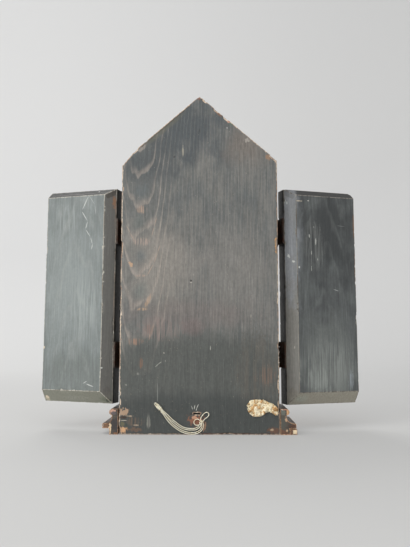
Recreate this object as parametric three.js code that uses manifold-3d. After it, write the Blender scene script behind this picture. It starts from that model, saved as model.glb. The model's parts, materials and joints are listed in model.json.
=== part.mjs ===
// A small wooden folding altarpiece: a house-shaped case on a moulded base, with two
// bevelled wings on iron butt hinges. Millimetres, +Z up, the front faces -Y and the
// painted back faces +Y. The origin is the centre of the base's underside. Left and
// right are those of someone who stands in front of it.
import * as THREE from 'three';
import { mergeVertices } from 'three/addons/utils/BufferGeometryUtils.js';
import Module from 'manifold-3d';

const wasm = await Module();
wasm.setup();

// Driving dimensions: the case
const CASE_WIDTH = 155;
const SHOULDER_RISE = 24.2;
const GABLE_RISE = 67;
const CASE_DEPTH = 34;
const BOARD_THICKNESS = 13;
const FRAME_WIDTH = 15;
const FRAME_CHAMFER = 4;
const UPPER_RAIL_HEIGHT = 14;
const UPPER_RAIL_LAP = 9;
const JOINT_GAP = 0.3;

// The base: a block in front of the board, with a mitred moulding and a plinth strip
const BASE_HEIGHT = 24.5;
const BASE_BLOCK_LEDGE = 10;
const FOOT_PROJECTION = 8.9;
const LIP_PROJECTION = 15.4;
const LIP_UNDERSIDE = 6;
const LIP_TOP = 10.6;
const NECK_PROJECTION = 6.4;
const NECK_LOW = 15.8;
const BEAD_CENTRE = 5.85;
const BEAD_RADIUS = 3.15;
const STRIP_PROJECTION = 16.2;
const STRIP_HEIGHT = 5.4;
const CAVETTO_STEPS = 8;
const BEAD_STEPS = 10;

// The wings, whose outer faces are raised fields with three bevels
const WING_WIDTH = 76.4;
const WING_HEIGHT = 218.2;
const WING_CLEARANCE = 2.1;
const WING_EDGE = 14.3;
const FIELD_RAISE = 7.8;
const BEVEL_TOP = 6.8;
const BEVEL_BOTTOM = 12.1;
const BEVEL_HINGE_SIDE = 10.2;
const SUNK_BORDER = 12;
const SUNK_DEPTH = 2.5;
const SUNK_SLOPE = 2;
const CLOSED_GAP = 1;

// How each wing hangs: its fold forward of flat, its lean in its own plane, its lift
const RIGHT_HANG = { foldDeg: 17.6, askewDeg: 0.5, lift: 0.5 };
const LEFT_HANG = { foldDeg: 18.3, askewDeg: 0.3, lift: -0.5 };

// The hinges, four iron butts screwed on the edges that face each other
const HINGE_LENGTH = 26;
const HINGE_OFFSET = 2.2;
const KNUCKLE_COUNT = 5;
const KNUCKLE_RADIUS = 1.8;
const KNUCKLE_GAP = 0.35;
const PIN_RADIUS = 0.7;
const PIN_HEAD_RADIUS = 1.3;
const PIN_HEAD_HEIGHT = 0.9;
const LEAF_THICKNESS = 1.2;
const LEAF_SETBACK = 0.2;
const LEAF_START = 0.35;
const UPPER_HINGE_FROM_TOP = 43.5;
const LOWER_HINGE_FROM_BOTTOM = 48.9;
const ROUND_SIDES = 20;

// The hanging string, knotted at a hole low in the back
const STRING_DIAMETER = 0.9;
const STRING_SIDES = 8;
const STRING_STEPS = 32;
const KNOT_SIDES = 12;
const STRAND_PITCH = 1.25;
const SLIT = { x: 2.2, z: 20, width: 6.6, height: 1.7, depth: 3.5 };
const KNOT = { x: -2.4, z: 11.3, lift: 1.95, width: 3.8, height: 4.8, depth: 3.2, tiltDeg: 0 };
const END_KNOT = { x: 38.4, z: 26, lift: 2.05, width: 12.5, height: 4, depth: 3.4, tiltDeg: -42 };

// Routes of the two pairs of strands: x, z and the lift of the line above the back
const UPPER_ROUTE = [
  [36.0, 23.2, 1.0], [33.3, 20.7, 0.85], [30.4, 18.1, 0.85], [26.8, 14.6, 0.85],
  [23.4, 12.0, 0.85], [19.5, 9.0, 0.85], [15.8, 6.9, 0.85], [11.7, 5.7, 0.85],
  [7.6, 5.4, 0.85], [3.5, 5.7, 0.9], [0.9, 7.0, 1.3], [-0.6, 8.8, 1.8],
  [-1.8, 10.8, 1.9],
];
const LOWER_ROUTE = [
  [36.2, 22.8, 2.35], [33.6, 19.9, 2.2], [31.4, 16.6, 1.9], [28.6, 12.7, 0.95],
  [25.1, 9.3, 0.85], [21.0, 6.2, 0.85], [17.4, 4.1, 0.85], [13.6, 2.6, 0.85],
  [10.2, 1.8, 0.85], [7.2, 1.6, 0.85], [4.2, 1.7, 0.85], [1.2, 2.5, 0.85],
  [-1.4, 4.3, 0.9], [-3.0, 6.8, 1.3], [-3.4, 9.0, 1.7], [-3.2, 11.0, 1.9],
];
const RING_ROUTE = [
  [-1.6, 12.4, 2.6], [-0.2, 14.4, 2.2], [2.0, 15.0, 1.3], [4.4, 13.6, 0.85],
  [4.9, 11.2, 0.85], [3.4, 9.5, 1.1], [1.4, 9.4, 2.3], [-0.4, 10.2, 3.0],
  [-1.8, 11.2, 2.6],
];
const LOOP_ROUTE = [
  [-2.2, 12.2, 2.4], [-1.5, 15.5, 1.5], [-3.2, 18.4, 0.9], [-5.4, 20.7, 0.9],
  [-8.0, 21.3, 0.9], [-9.4, 19.5, 0.9], [-8.1, 17.0, 0.9], [-5.6, 15.2, 1.3],
  [-3.2, 12.6, 2.4],
];

// The lump of plaster at the foot of the back: x and z of its outline from its own middle
const PATCH_FROM_EDGE = 16.5;
const PATCH_MIDDLE_HEIGHT = 25;
const PATCH_OUTLINE = [
  [15.4, 3.6], [12.4, 7.4], [7.0, 8.8], [-0.6, 8.6], [-7.0, 5.8],
  [-12.2, 3.4], [-15.0, -0.6], [-15.2, -5.4], [-12.4, -6.8], [-7.0, -3.4],
  [-2.6, -4.8], [1.0, -7.6], [7.0, -8.2], [12.0, -6.0], [14.6, -1.8],
];
const PATCH_HEIGHT = 2.4;
const PATCH_TOP_SHARE = 0.6;
const PATCH_SHOULDER_SHARE = 0.88;
const PATCH_SHOULDER_RISE = 0.75;

// Sizes that follow from the driving dimensions
const HALF_WIDTH = CASE_WIDTH / 2;
const MOULDING_BACK = HALF_WIDTH + JOINT_GAP;
const BLOCK_FRONT = CASE_DEPTH + BASE_BLOCK_LEDGE;
const BASE_DEPTH = BLOCK_FRONT + JOINT_GAP + STRIP_PROJECTION;
const BACK_Y = BASE_DEPTH / 2;
const AXIS_X = HALF_WIDTH + HINGE_OFFSET;
const AXIS_DEPTH = CASE_DEPTH + CLOSED_GAP / 2;
const WING_BOTTOM = BASE_HEIGHT + WING_CLEARANCE;
const WING_TOP = WING_BOTTOM + WING_HEIGHT;
const WING_MIDDLE = WING_BOTTOM + WING_HEIGHT / 2;
const SHOULDER_HEIGHT = WING_TOP + SHOULDER_RISE;
const APEX_HEIGHT = SHOULDER_HEIGHT + GABLE_RISE;
const WING_INNER = CLOSED_GAP / 2;
const LEAF_WIDTH = WING_INNER + WING_EDGE - LEAF_SETBACK;
const LEAF_OUTER = HINGE_OFFSET - JOINT_GAP;
const BORE_RADIUS = PIN_RADIUS + JOINT_GAP;
const HINGE_CLEARANCE = KNUCKLE_RADIUS + KNUCKLE_GAP;
const KNUCKLE_PITCH = (HINGE_LENGTH + KNUCKLE_GAP) / KNUCKLE_COUNT;
const KNUCKLE_LENGTH = KNUCKLE_PITCH - KNUCKLE_GAP;
const HINGE_HEIGHTS = {
  upper: WING_TOP - UPPER_HINGE_FROM_TOP,
  lower: WING_BOTTOM + LOWER_HINGE_FROM_BOTTOM,
};
const STRAND_LIFT = JOINT_GAP / 2;
const OVERCUT = 1;
const WELD = 1e-4;

const rad = THREE.MathUtils.degToRad;

function paint(color, roughness, metalness = 0) {
  return new THREE.MeshStandardMaterial({ color, roughness, metalness });
}

const PAINTS = {
  back: () => paint(0x4a4c49, 0.62),
  frame: () => paint(0x3d3a35, 0.6),
  moulding: () => paint(0x6b5644, 0.75),
  wing: () => paint(0x4f5553, 0.5),
  iron: () => paint(0x6a645c, 0.5, 0.8),
  string: () => paint(0xe9dfc4, 0.9),
  plaster: () => paint(0xf2e4c2, 0.85),
};

function toSolid(geometry) {
  const bare = geometry.clone();
  bare.deleteAttribute('normal');
  bare.deleteAttribute('uv');
  const merged = mergeVertices(bare, WELD);
  const vertProperties = Float32Array.from(merged.attributes.position.array);
  const triVerts = Uint32Array.from(merged.index.array);
  return new wasm.Manifold(new wasm.Mesh({ numProp: 3, vertProperties, triVerts }));
}

function toGeometry(solid) {
  const mesh = solid.getMesh();
  const geometry = new THREE.BufferGeometry();
  geometry.setAttribute('position', new THREE.BufferAttribute(mesh.vertProperties, 3));
  geometry.setIndex(new THREE.BufferAttribute(mesh.triVerts, 1));
  return geometry;
}

// A closed skin over rings of points, capped by the triangulated outline
function skin(rings, outline) {
  const count = outline.length;
  const faces = [];
  for (let ring = 0; ring < rings.length - 1; ring += 1) {
    for (let k = 0; k < count; k += 1) {
      const a = ring * count + k;
      const b = ring * count + ((k + 1) % count);
      faces.push([a, b, b + count], [a, b + count, a + count]);
    }
  }
  const last = (rings.length - 1) * count;
  for (const [a, b, c] of THREE.ShapeUtils.triangulateShape(outline, [])) {
    faces.push([c, b, a], [last + a, last + b, last + c]);
  }
  const points = rings.flat();
  const volume = faces.reduce((sum, [a, b, c]) => {
    const cross = new THREE.Vector3().crossVectors(points[b], points[c]);
    return sum + points[a].dot(cross);
  }, 0);
  const outward = volume < 0 ? faces.map(([a, b, c]) => [a, c, b]) : faces;
  const geometry = new THREE.BufferGeometry().setFromPoints(points);
  geometry.setIndex(outward.flat());
  return geometry;
}

function outlineOf(points) {
  return points.map(([x, z]) => new THREE.Vector2(x, z));
}

function rectangle(x0, x1, z0, z1) {
  return outlineOf([[x0, z0], [x1, z0], [x1, z1], [x0, z1]]);
}

// Moves each edge of a counter-clockwise outline inwards by its own distance
function inset(outline, distances) {
  const count = outline.length;
  const edges = outline.map((point, k) => {
    const along = outline[(k + 1) % count].clone().sub(point).normalize();
    const inward = new THREE.Vector2(-along.y, along.x);
    return { point: point.clone().addScaledVector(inward, distances[k]), along };
  });
  return edges.map((edge, k) => {
    const before = edges[(k + count - 1) % count];
    const apart = edge.point.clone().sub(before.point);
    const travel = apart.cross(edge.along) / before.along.cross(edge.along);
    return before.point.clone().addScaledVector(before.along, travel);
  });
}

function evenly(outline, distance) {
  return outline.map(() => distance);
}

// Layers of a prism that faces the front: each is an outline at a depth from the back
function layered(layers, backY = BACK_Y) {
  const rings = layers.map(({ outline, depth }) => outline.map(
    (point) => new THREE.Vector3(point.x, backY - depth, point.y),
  ));
  return skin(rings, layers[0].outline);
}

function slab(outline, from, to) {
  return layered([{ outline, depth: from }, { outline, depth: to }]);
}

function upright(radius, length, x, y, z) {
  const geometry = new THREE.CylinderGeometry(radius, radius, length, ROUND_SIDES);
  return geometry.rotateX(Math.PI / 2).translate(x, y, z);
}

function tube(points, diameter, steps) {
  const section = new THREE.Shape();
  section.absarc(0, 0, diameter / 2, 0, 2 * Math.PI);
  const corners = section.getPoints(STRING_SIDES / 2).slice(0, STRING_SIDES);
  return new THREE.ExtrudeGeometry(new THREE.Shape(corners), {
    steps,
    bevelEnabled: false,
    extrudePath: new THREE.CatmullRomCurve3(points, false, 'centripetal'),
  });
}

const altarpiece = new THREE.Group();
altarpiece.name = 'triptych_altarpiece';

function place(name, geometry, material, parent = altarpiece) {
  const mesh = new THREE.Mesh(geometry, material);
  mesh.name = name;
  parent.add(mesh);
  return mesh;
}

function houseOutline() {
  return outlineOf([
    [-HALF_WIDTH, 0], [HALF_WIDTH, 0], [HALF_WIDTH, SHOULDER_HEIGHT],
    [0, APEX_HEIGHT], [-HALF_WIDTH, SHOULDER_HEIGHT],
  ]);
}

function buildBackBoard() {
  const board = toSolid(slab(houseOutline(), 0, BOARD_THICKNESS));
  const slit = new THREE.BoxGeometry(SLIT.width, 2 * SLIT.depth, SLIT.height);
  slit.translate(SLIT.x, BACK_Y, SLIT.z);
  place('back_board', toGeometry(board.subtract(toSolid(slit))), PAINTS.back());
}

// The front frame: members on the board's front face, mitred at shoulders and apex
function frameOutlines() {
  const outer = houseOutline();
  const inner = inset(outer, evenly(outer, FRAME_WIDTH));
  const foot = BASE_HEIGHT + JOINT_GAP;
  const innerX = HALF_WIDTH - FRAME_WIDTH;
  const railTop = WING_TOP + UPPER_RAIL_HEIGHT - UPPER_RAIL_LAP;
  const half = JOINT_GAP / 2;
  const [, , shoulder, apex] = outer;
  const [, , innerShoulder, innerApex] = inner;
  const stile = outlineOf([
    [innerX, foot], [HALF_WIDTH, foot], shoulder.toArray(), innerShoulder.toArray(),
  ]);
  const rake = [innerShoulder, shoulder, apex, innerApex];
  const lower = rectangle(-innerX, innerX, foot, foot + FRAME_WIDTH);
  const upper = rectangle(-innerX, innerX, railTop - UPPER_RAIL_HEIGHT, railTop);
  const field = rectangle(-innerX, innerX, foot + FRAME_WIDTH, railTop - UPPER_RAIL_HEIGHT);
  const gable = outlineOf([
    [-innerX, railTop], [innerX, railTop], innerShoulder.toArray(),
    innerApex.toArray(), [-innerShoulder.x, innerShoulder.y],
  ]);
  return {
    stile: inset(stile, [0, 0, half, 0]),
    rake: inset(rake, [half, 0, half, 0]),
    lower: inset(lower, [0, JOINT_GAP, 0, JOINT_GAP]),
    upper: inset(upper, [0, JOINT_GAP, 0, JOINT_GAP]),
    field,
    gable,
  };
}

function mirrored(outline) {
  return outline.map((point) => new THREE.Vector2(-point.x, point.y)).reverse();
}

function chamferCutter(opening) {
  const reach = -(FRAME_CHAMFER + OVERCUT);
  return toSolid(layered([
    { outline: opening, depth: CASE_DEPTH - FRAME_CHAMFER },
    { outline: inset(opening, evenly(opening, reach)), depth: CASE_DEPTH + OVERCUT },
  ]));
}

function buildFrame() {
  const outlines = frameOutlines();
  const cutters = [chamferCutter(outlines.field), chamferCutter(outlines.gable)];
  const members = {
    frame_stile_right: outlines.stile,
    frame_stile_left: mirrored(outlines.stile),
    frame_rake_right: outlines.rake,
    frame_rake_left: mirrored(outlines.rake),
    frame_rail_lower: outlines.lower,
    frame_rail_upper: outlines.upper,
  };
  for (const [name, outline] of Object.entries(members)) {
    const bar = toSolid(slab(outline, BOARD_THICKNESS + JOINT_GAP, CASE_DEPTH));
    const cut = cutters.reduce((solid, cutter) => solid.subtract(cutter), bar);
    place(name, toGeometry(cut), PAINTS.frame());
  }
}

// Moulding profile: projection from the face that it is fixed to, and height
function mouldingProfile() {
  const points = [
    [0, 0], [FOOT_PROJECTION, 0], [FOOT_PROJECTION, LIP_UNDERSIDE],
    [LIP_PROJECTION, LIP_UNDERSIDE], [LIP_PROJECTION, LIP_TOP],
  ];
  for (let step = 1; step <= CAVETTO_STEPS; step += 1) {
    const angle = (step / CAVETTO_STEPS) * (Math.PI / 2);
    points.push([
      LIP_PROJECTION - (LIP_PROJECTION - NECK_PROJECTION) * Math.sin(angle),
      NECK_LOW - (NECK_LOW - LIP_TOP) * Math.cos(angle),
    ]);
  }
  const beadZ = BASE_HEIGHT - BEAD_RADIUS;
  const beadStart = -Math.acos((NECK_PROJECTION - BEAD_CENTRE) / BEAD_RADIUS);
  for (let step = 0; step <= BEAD_STEPS; step += 1) {
    const angle = beadStart + (step / BEAD_STEPS) * (Math.PI / 2 - beadStart);
    points.push([
      BEAD_CENTRE + BEAD_RADIUS * Math.cos(angle),
      beadZ + BEAD_RADIUS * Math.sin(angle),
    ]);
  }
  points.push([0, BASE_HEIGHT]);
  return outlineOf(points);
}

function stripProfile() {
  return rectangle(FOOT_PROJECTION + JOINT_GAP, STRIP_PROJECTION, 0, STRIP_HEIGHT);
}

// A length of moulding on a side, square at the back and mitred at the front
function sideMoulding(profile, side) {
  const back = profile.map((p) => new THREE.Vector3(side * (MOULDING_BACK + p.x), BACK_Y, p.y));
  const mitre = profile.map((p) => new THREE.Vector3(
    side * (MOULDING_BACK + p.x),
    BACK_Y - (BLOCK_FRONT + p.x),
    p.y,
  ));
  return skin([back, mitre], profile);
}

function frontMoulding(profile) {
  const end = (side) => profile.map((p) => new THREE.Vector3(
    side * (MOULDING_BACK - JOINT_GAP / 2 + p.x),
    BACK_Y - (BLOCK_FRONT + JOINT_GAP + p.x),
    p.y,
  ));
  return skin([end(-1), end(1)], profile);
}

function buildBase() {
  const block = rectangle(-HALF_WIDTH, HALF_WIDTH, 0, BASE_HEIGHT);
  place('base_block', slab(block, BOARD_THICKNESS + JOINT_GAP, BLOCK_FRONT), PAINTS.frame());
  const profile = mouldingProfile();
  place('base_moulding_front', frontMoulding(profile), PAINTS.moulding());
  place('base_moulding_left', sideMoulding(profile, -1), PAINTS.moulding());
  place('base_moulding_right', sideMoulding(profile, 1), PAINTS.moulding());
  // The strip under the right-hand return is lost
  place('plinth_strip_front', frontMoulding(stripProfile()), PAINTS.moulding());
  place('plinth_strip_left', sideMoulding(stripProfile(), -1), PAINTS.moulding());
}

// Leans a piece of a wing in the wing's own plane, about its hinge-side edge, and lifts it
function hang(geometry, side, { askewDeg, lift }) {
  geometry.translate(-side * HINGE_OFFSET, 0, -WING_MIDDLE);
  geometry.rotateY(-side * rad(askewDeg));
  return geometry.translate(side * HINGE_OFFSET, 0, WING_MIDDLE + lift);
}

// Wing coordinates: x outwards from the hinge axis, y backwards from it when open flat
function wingWood(side, hanging) {
  const near = side * HINGE_OFFSET;
  const far = side * (HINGE_OFFSET + WING_WIDTH);
  const face = rectangle(Math.min(near, far), Math.max(near, far), WING_BOTTOM, WING_TOP);
  const bevels = side > 0
    ? [BEVEL_BOTTOM, 0, BEVEL_TOP, BEVEL_HINGE_SIDE]
    : [BEVEL_BOTTOM, BEVEL_HINGE_SIDE, BEVEL_TOP, 0];
  const edgeBack = WING_INNER + WING_EDGE;
  const body = layered([
    { outline: inset(face, bevels), depth: -(edgeBack + FIELD_RAISE) },
    { outline: face, depth: -edgeBack },
    { outline: face, depth: -WING_INNER },
  ], 0);
  const slope = SUNK_SLOPE / SUNK_DEPTH;
  const sunk = layered([
    {
      outline: inset(face, evenly(face, SUNK_BORDER + SUNK_SLOPE)),
      depth: -(WING_INNER + SUNK_DEPTH),
    },
    {
      outline: inset(face, evenly(face, SUNK_BORDER - slope * OVERCUT)),
      depth: -(WING_INNER - OVERCUT),
    },
  ], 0);
  const carved = toSolid(hang(body, side, hanging))
    .subtract(toSolid(hang(sunk, side, hanging)));
  return Object.values(HINGE_HEIGHTS).reduce((wood, z) => wood.subtract(
    toSolid(upright(HINGE_CLEARANCE, HINGE_LENGTH + 2 * KNUCKLE_GAP, 0, 0, z)),
  ), carved);
}

function knuckleHeight(index, z) {
  return z - HINGE_LENGTH / 2 + KNUCKLE_LENGTH / 2 + index * KNUCKLE_PITCH;
}

// A leaf with its own knuckles: even numbers on the case, odd ones on the wing
function hingeLeaf(plate, parity, z) {
  let leaf = toSolid(plate);
  for (let index = 0; index < KNUCKLE_COUNT; index += 1) {
    const height = knuckleHeight(index, z);
    leaf = index % 2 === parity
      ? leaf.add(toSolid(upright(KNUCKLE_RADIUS, KNUCKLE_LENGTH, 0, 0, height)))
      : leaf.subtract(toSolid(
        upright(HINGE_CLEARANCE, KNUCKLE_LENGTH + 2 * KNUCKLE_GAP, 0, 0, height),
      ));
  }
  return leaf.subtract(toSolid(upright(BORE_RADIUS, HINGE_LENGTH + OVERCUT, 0, 0, z)));
}

function leafPlate(direction, z) {
  const plate = new THREE.BoxGeometry(LEAF_THICKNESS, LEAF_WIDTH - LEAF_START, HINGE_LENGTH);
  const middle = direction * (LEAF_OUTER - LEAF_THICKNESS / 2);
  return plate.translate(middle, (LEAF_WIDTH + LEAF_START) / 2, z);
}

function hingePin(z) {
  const shank = HINGE_LENGTH + 2 * JOINT_GAP;
  const head = (end) => toSolid(upright(
    PIN_HEAD_RADIUS,
    PIN_HEAD_HEIGHT,
    0,
    0,
    z + end * (shank / 2 + PIN_HEAD_HEIGHT / 2),
  ));
  const pin = toSolid(upright(PIN_RADIUS, shank + PIN_HEAD_HEIGHT, 0, 0, z));
  return pin.add(head(-1)).add(head(1));
}

function buildWing(label, side, hanging) {
  const axis = new THREE.Group();
  axis.position.set(side * AXIS_X, BACK_Y - AXIS_DEPTH, 0);
  altarpiece.add(axis);
  const folded = new THREE.Group();
  folded.rotation.z = -side * rad(hanging.foldDeg);
  axis.add(folded);
  place(`wing_${label}`, toGeometry(wingWood(side, hanging)), PAINTS.wing(), folded);
  const leaned = { askewDeg: hanging.askewDeg, lift: 0 };
  for (const [level, z] of Object.entries(HINGE_HEIGHTS)) {
    const hinge = `hinge_${label}_${level}`;
    const onCase = hingeLeaf(leafPlate(-side, z), 0, z);
    const onWing = hingeLeaf(hang(leafPlate(side, z), side, leaned), 1, z);
    place(`${hinge}_case_leaf`, toGeometry(onCase), PAINTS.iron(), axis);
    place(`${hinge}_pin`, toGeometry(hingePin(z)), PAINTS.iron(), axis);
    place(`${hinge}_wing_leaf`, toGeometry(onWing), PAINTS.iron(), folded);
  }
}

function routePoints(route) {
  return route.map(([x, z, lift]) => new THREE.Vector3(x, BACK_Y + STRAND_LIFT + lift, z));
}

// One strand of a pair: the route moved sideways in the plane of the back
function strandPoints(route, offset) {
  const points = routePoints(route);
  return points.map((point, k) => {
    const before = points[Math.max(k - 1, 0)];
    const after = points[Math.min(k + 1, points.length - 1)];
    const along = after.clone().sub(before).setY(0).normalize();
    return point.clone().add(new THREE.Vector3(along.z, 0, -along.x).multiplyScalar(offset));
  });
}

// A rounded knot, or with a margin the room that it takes from what meets it
function knotLump(knot, margin = 0) {
  const geometry = new THREE.SphereGeometry(0.5, KNOT_SIDES, KNOT_SIDES / 2);
  const grown = 2 * margin;
  geometry.scale(knot.width + grown, knot.depth + grown, knot.height + grown);
  geometry.rotateY(rad(knot.tiltDeg));
  return toSolid(geometry.translate(knot.x, BACK_Y + knot.lift, knot.z));
}

function buildString() {
  const routes = { upper: UPPER_ROUTE, lower: LOWER_ROUTE };
  for (const [name, route] of Object.entries(routes)) {
    for (const [label, turn] of [['inner', -1], ['outer', 1]]) {
      const points = strandPoints(route, (turn * STRAND_PITCH) / 2);
      const strand = toSolid(tube(points, STRING_DIAMETER, STRING_STEPS))
        .subtract(knotLump(KNOT, JOINT_GAP))
        .subtract(knotLump(END_KNOT, JOINT_GAP));
      place(`string_${name}_${label}`, toGeometry(strand), PAINTS.string());
    }
  }
  const ring = toSolid(tube(routePoints(RING_ROUTE), STRING_DIAMETER, STRING_STEPS));
  const loop = toSolid(tube(routePoints(LOOP_ROUTE), STRING_DIAMETER, STRING_STEPS));
  const knot = knotLump(KNOT).add(ring).add(loop);
  place('string_knot', toGeometry(knot), PAINTS.string());
  place('string_end_knot', toGeometry(knotLump(END_KNOT)), PAINTS.string());
}

function buildPatch() {
  const rim = new THREE.SplineCurve(outlineOf([...PATCH_OUTLINE, PATCH_OUTLINE[0]]));
  const outline = rim.getPoints(2 * PATCH_OUTLINE.length).slice(0, -1);
  const drawnIn = (share) => outline.map((p) => p.clone().multiplyScalar(share));
  const rise = (share) => -(JOINT_GAP + share * PATCH_HEIGHT);
  const patch = layered([
    { outline: drawnIn(PATCH_TOP_SHARE), depth: rise(1) },
    { outline: drawnIn(PATCH_SHOULDER_SHARE), depth: rise(PATCH_SHOULDER_RISE) },
    { outline, depth: rise(0) },
  ]);
  patch.translate(PATCH_FROM_EDGE - HALF_WIDTH, 0, PATCH_MIDDLE_HEIGHT);
  place('plaster_patch', patch, PAINTS.plaster());
}

buildBackBoard();
buildFrame();
buildBase();
buildWing('right', 1, RIGHT_HANG);
buildWing('left', -1, LEFT_HANG);
buildString();
buildPatch();

export default altarpiece;
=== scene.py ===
# %% [markdown]
# # A small folding altarpiece, seen from behind
#
# The object is a wooden case with a gable, a moulded base at its foot and two wings on iron
# hinges. Its solids come ready-made from the imported frame. This lesson dresses them: the wood
# gets rounded and chipped edges, the paint gets its grain, wear, scratches and some painted
# light and shade, and the knotted string and the lump of plaster on the back are modelled as
# what they are.
#
# Everything is in metres, in the frame of the solids: +Z is up, the front looks towards -Y and
# the painted back towards +Y. Left and right are those of someone in front of it.

# %% Load the frame and note its box
import itertools
import json
import math
from collections import namedtuple

import bmesh
import bpy
import numpy as np
from mathutils import Matrix, Vector


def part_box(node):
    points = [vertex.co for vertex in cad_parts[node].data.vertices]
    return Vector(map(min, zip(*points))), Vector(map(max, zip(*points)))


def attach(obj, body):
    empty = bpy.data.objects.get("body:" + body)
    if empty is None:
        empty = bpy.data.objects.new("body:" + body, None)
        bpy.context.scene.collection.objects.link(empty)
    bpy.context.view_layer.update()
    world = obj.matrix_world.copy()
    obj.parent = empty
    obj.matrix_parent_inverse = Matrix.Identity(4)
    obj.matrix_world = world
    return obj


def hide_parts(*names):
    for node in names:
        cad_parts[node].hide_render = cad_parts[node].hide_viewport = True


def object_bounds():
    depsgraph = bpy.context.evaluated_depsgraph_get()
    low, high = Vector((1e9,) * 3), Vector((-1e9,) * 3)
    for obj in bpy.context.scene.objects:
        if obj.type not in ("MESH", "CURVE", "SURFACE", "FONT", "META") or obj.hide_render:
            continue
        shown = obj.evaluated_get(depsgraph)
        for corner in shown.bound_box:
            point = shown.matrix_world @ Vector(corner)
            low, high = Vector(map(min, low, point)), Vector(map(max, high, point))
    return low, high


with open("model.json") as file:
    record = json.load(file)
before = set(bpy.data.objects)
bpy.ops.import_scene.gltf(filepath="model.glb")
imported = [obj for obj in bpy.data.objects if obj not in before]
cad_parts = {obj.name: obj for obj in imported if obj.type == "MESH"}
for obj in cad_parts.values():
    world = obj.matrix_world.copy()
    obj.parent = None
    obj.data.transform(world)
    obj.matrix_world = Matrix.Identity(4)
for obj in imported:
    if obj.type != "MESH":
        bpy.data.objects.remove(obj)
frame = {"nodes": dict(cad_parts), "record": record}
cad_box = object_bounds()
MM = 0.001
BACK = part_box("back_board")[1].y
cad_sides = [round(side / MM, 1) for side in cad_box[1] - cad_box[0]]
print("solids:", len(frame["nodes"]), "box:", cad_sides)

# %% [markdown]
# ## Camera
#
# The photograph looks down on the back of the object, which lies on its face. The same view of
# the standing object looks level at its back from about 63 cm away. The place and the turn were
# found by matching the corners of the solids with the corners in the picture. Blender's AUTO
# sensor fit gives the sensor's width to the longer side of the picture, so the focal length
# follows from the height of 547 pixels.

# %% Make the camera
PICTURE_HEIGHT = 547
FOCAL_PIXELS = 640
SENSOR = 36.0
CAMERA_SIDE, CAMERA_AWAY, CAMERA_UP = -15.2 * MM, 625.3 * MM, 91.9 * MM
CAMERA_TURN = [math.radians(angle) for angle in (95.795, -0.01, -179.122)]


def add_object(name, data):
    """A new object with the given data, linked to the scene."""
    made = bpy.data.objects.new(name, data)
    bpy.context.scene.collection.objects.link(made)
    return made


camera_data = bpy.data.cameras.new("camera")
camera_data.sensor_width = SENSOR
camera_data.lens = SENSOR * FOCAL_PIXELS / PICTURE_HEIGHT
camera = add_object("camera", camera_data)
camera.location = (CAMERA_SIDE, BACK + CAMERA_AWAY, CAMERA_UP)
camera.rotation_euler = CAMERA_TURN
bpy.context.scene.camera = camera
print("focal length:", round(camera_data.lens, 2), "mm")

# %% [markdown]
# ## A twisted thread
#
# The string is old cotton thread of two plies. A swept circle would look like wire, so the
# section here has two lobes and turns as it travels. The path is a smooth curve through a few
# points, drawn as a centripetal Catmull-Rom curve, which never overshoots at tight turns.

# %% Sweep a lobed section along a smooth path
THREAD_DIAMETER = 0.9 * MM
PLY_TURN = 2.6 * MM
SECTION_SIDES = 12
LOBE_DEPTH = 0.2
PATH_STEP = 0.3 * MM


def smooth_path(points, step=PATH_STEP):
    """Points about one step apart on a centripetal Catmull-Rom curve through the given ones."""
    known = [Vector(point) for point in points]
    known = [2 * known[0] - known[1], *known, 2 * known[-1] - known[-2]]
    path = []
    for corners in zip(known, known[1:], known[2:], known[3:]):
        times = [0.0]
        for here, there in zip(corners, corners[1:]):
            times.append(times[-1] + math.sqrt((there - here).length))
        count = max(1, round((corners[2] - corners[1]).length / step))
        for index in range(count):
            at = times[1] + (times[2] - times[1]) * index / count
            outer = [
                corners[k].lerp(corners[k + 1], (at - times[k]) / (times[k + 1] - times[k]))
                for k in range(3)
            ]
            inner = [
                outer[k].lerp(outer[k + 1], (at - times[k]) / (times[k + 2] - times[k]))
                for k in range(2)
            ]
            path.append(inner[0].lerp(inner[1], (at - times[1]) / (times[2] - times[1])))
    path.append(known[-2])
    return path


def path_length(path):
    return sum((there - here).length for here, there in zip(path, path[1:]))


def sweep_thread(path, radius_at, phase=0.0):
    """Vertices and faces of a two-ply thread whose radius depends on the share of its length."""
    vertices = []
    faces = []
    travelled = 0.0
    whole = path_length(path)
    across = Vector((0.3, 1, 0.2))
    for index, point in enumerate(path):
        along = (path[min(index + 1, len(path) - 1)] - path[max(index - 1, 0)]).normalized()
        across = (across - across.dot(along) * along).normalized()
        over = along.cross(across)
        if index:
            travelled += (point - path[index - 1]).length
        radius = radius_at(travelled / whole)
        turn = phase + math.tau * travelled / PLY_TURN
        for side in range(SECTION_SIDES):
            angle = math.tau * side / SECTION_SIDES
            lobe = 1 - LOBE_DEPTH + LOBE_DEPTH * math.cos(2 * angle)
            direction = math.cos(angle + turn) * across + math.sin(angle + turn) * over
            vertices.append(point + radius * lobe * direction)
    for ring in range(len(path) - 1):
        for side in range(SECTION_SIDES):
            near = ring * SECTION_SIDES + side
            beside = ring * SECTION_SIDES + (side + 1) % SECTION_SIDES
            faces.append((near, beside, beside + SECTION_SIDES, near + SECTION_SIDES))
    last = (len(path) - 1) * SECTION_SIDES
    faces.append(tuple(reversed(range(SECTION_SIDES))))
    faces.append(tuple(range(last, last + SECTION_SIDES)))
    return vertices, faces


def make_object(name, parts):
    """One mesh object from a list of (vertices, faces)."""
    vertices = []
    faces = []
    for part_vertices, part_faces in parts:
        start = len(vertices)
        vertices.extend(tuple(vertex) for vertex in part_vertices)
        faces.extend(tuple(corner + start for corner in face) for face in part_faces)
    mesh = bpy.data.meshes.new(name)
    mesh.from_pydata(vertices, [], faces)
    bm = bmesh.new()
    bm.from_mesh(mesh)
    bmesh.ops.recalc_face_normals(bm, faces=bm.faces)
    bm.to_mesh(mesh)
    bm.free()
    mesh.shade_smooth()
    return add_object(name, mesh)


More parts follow.
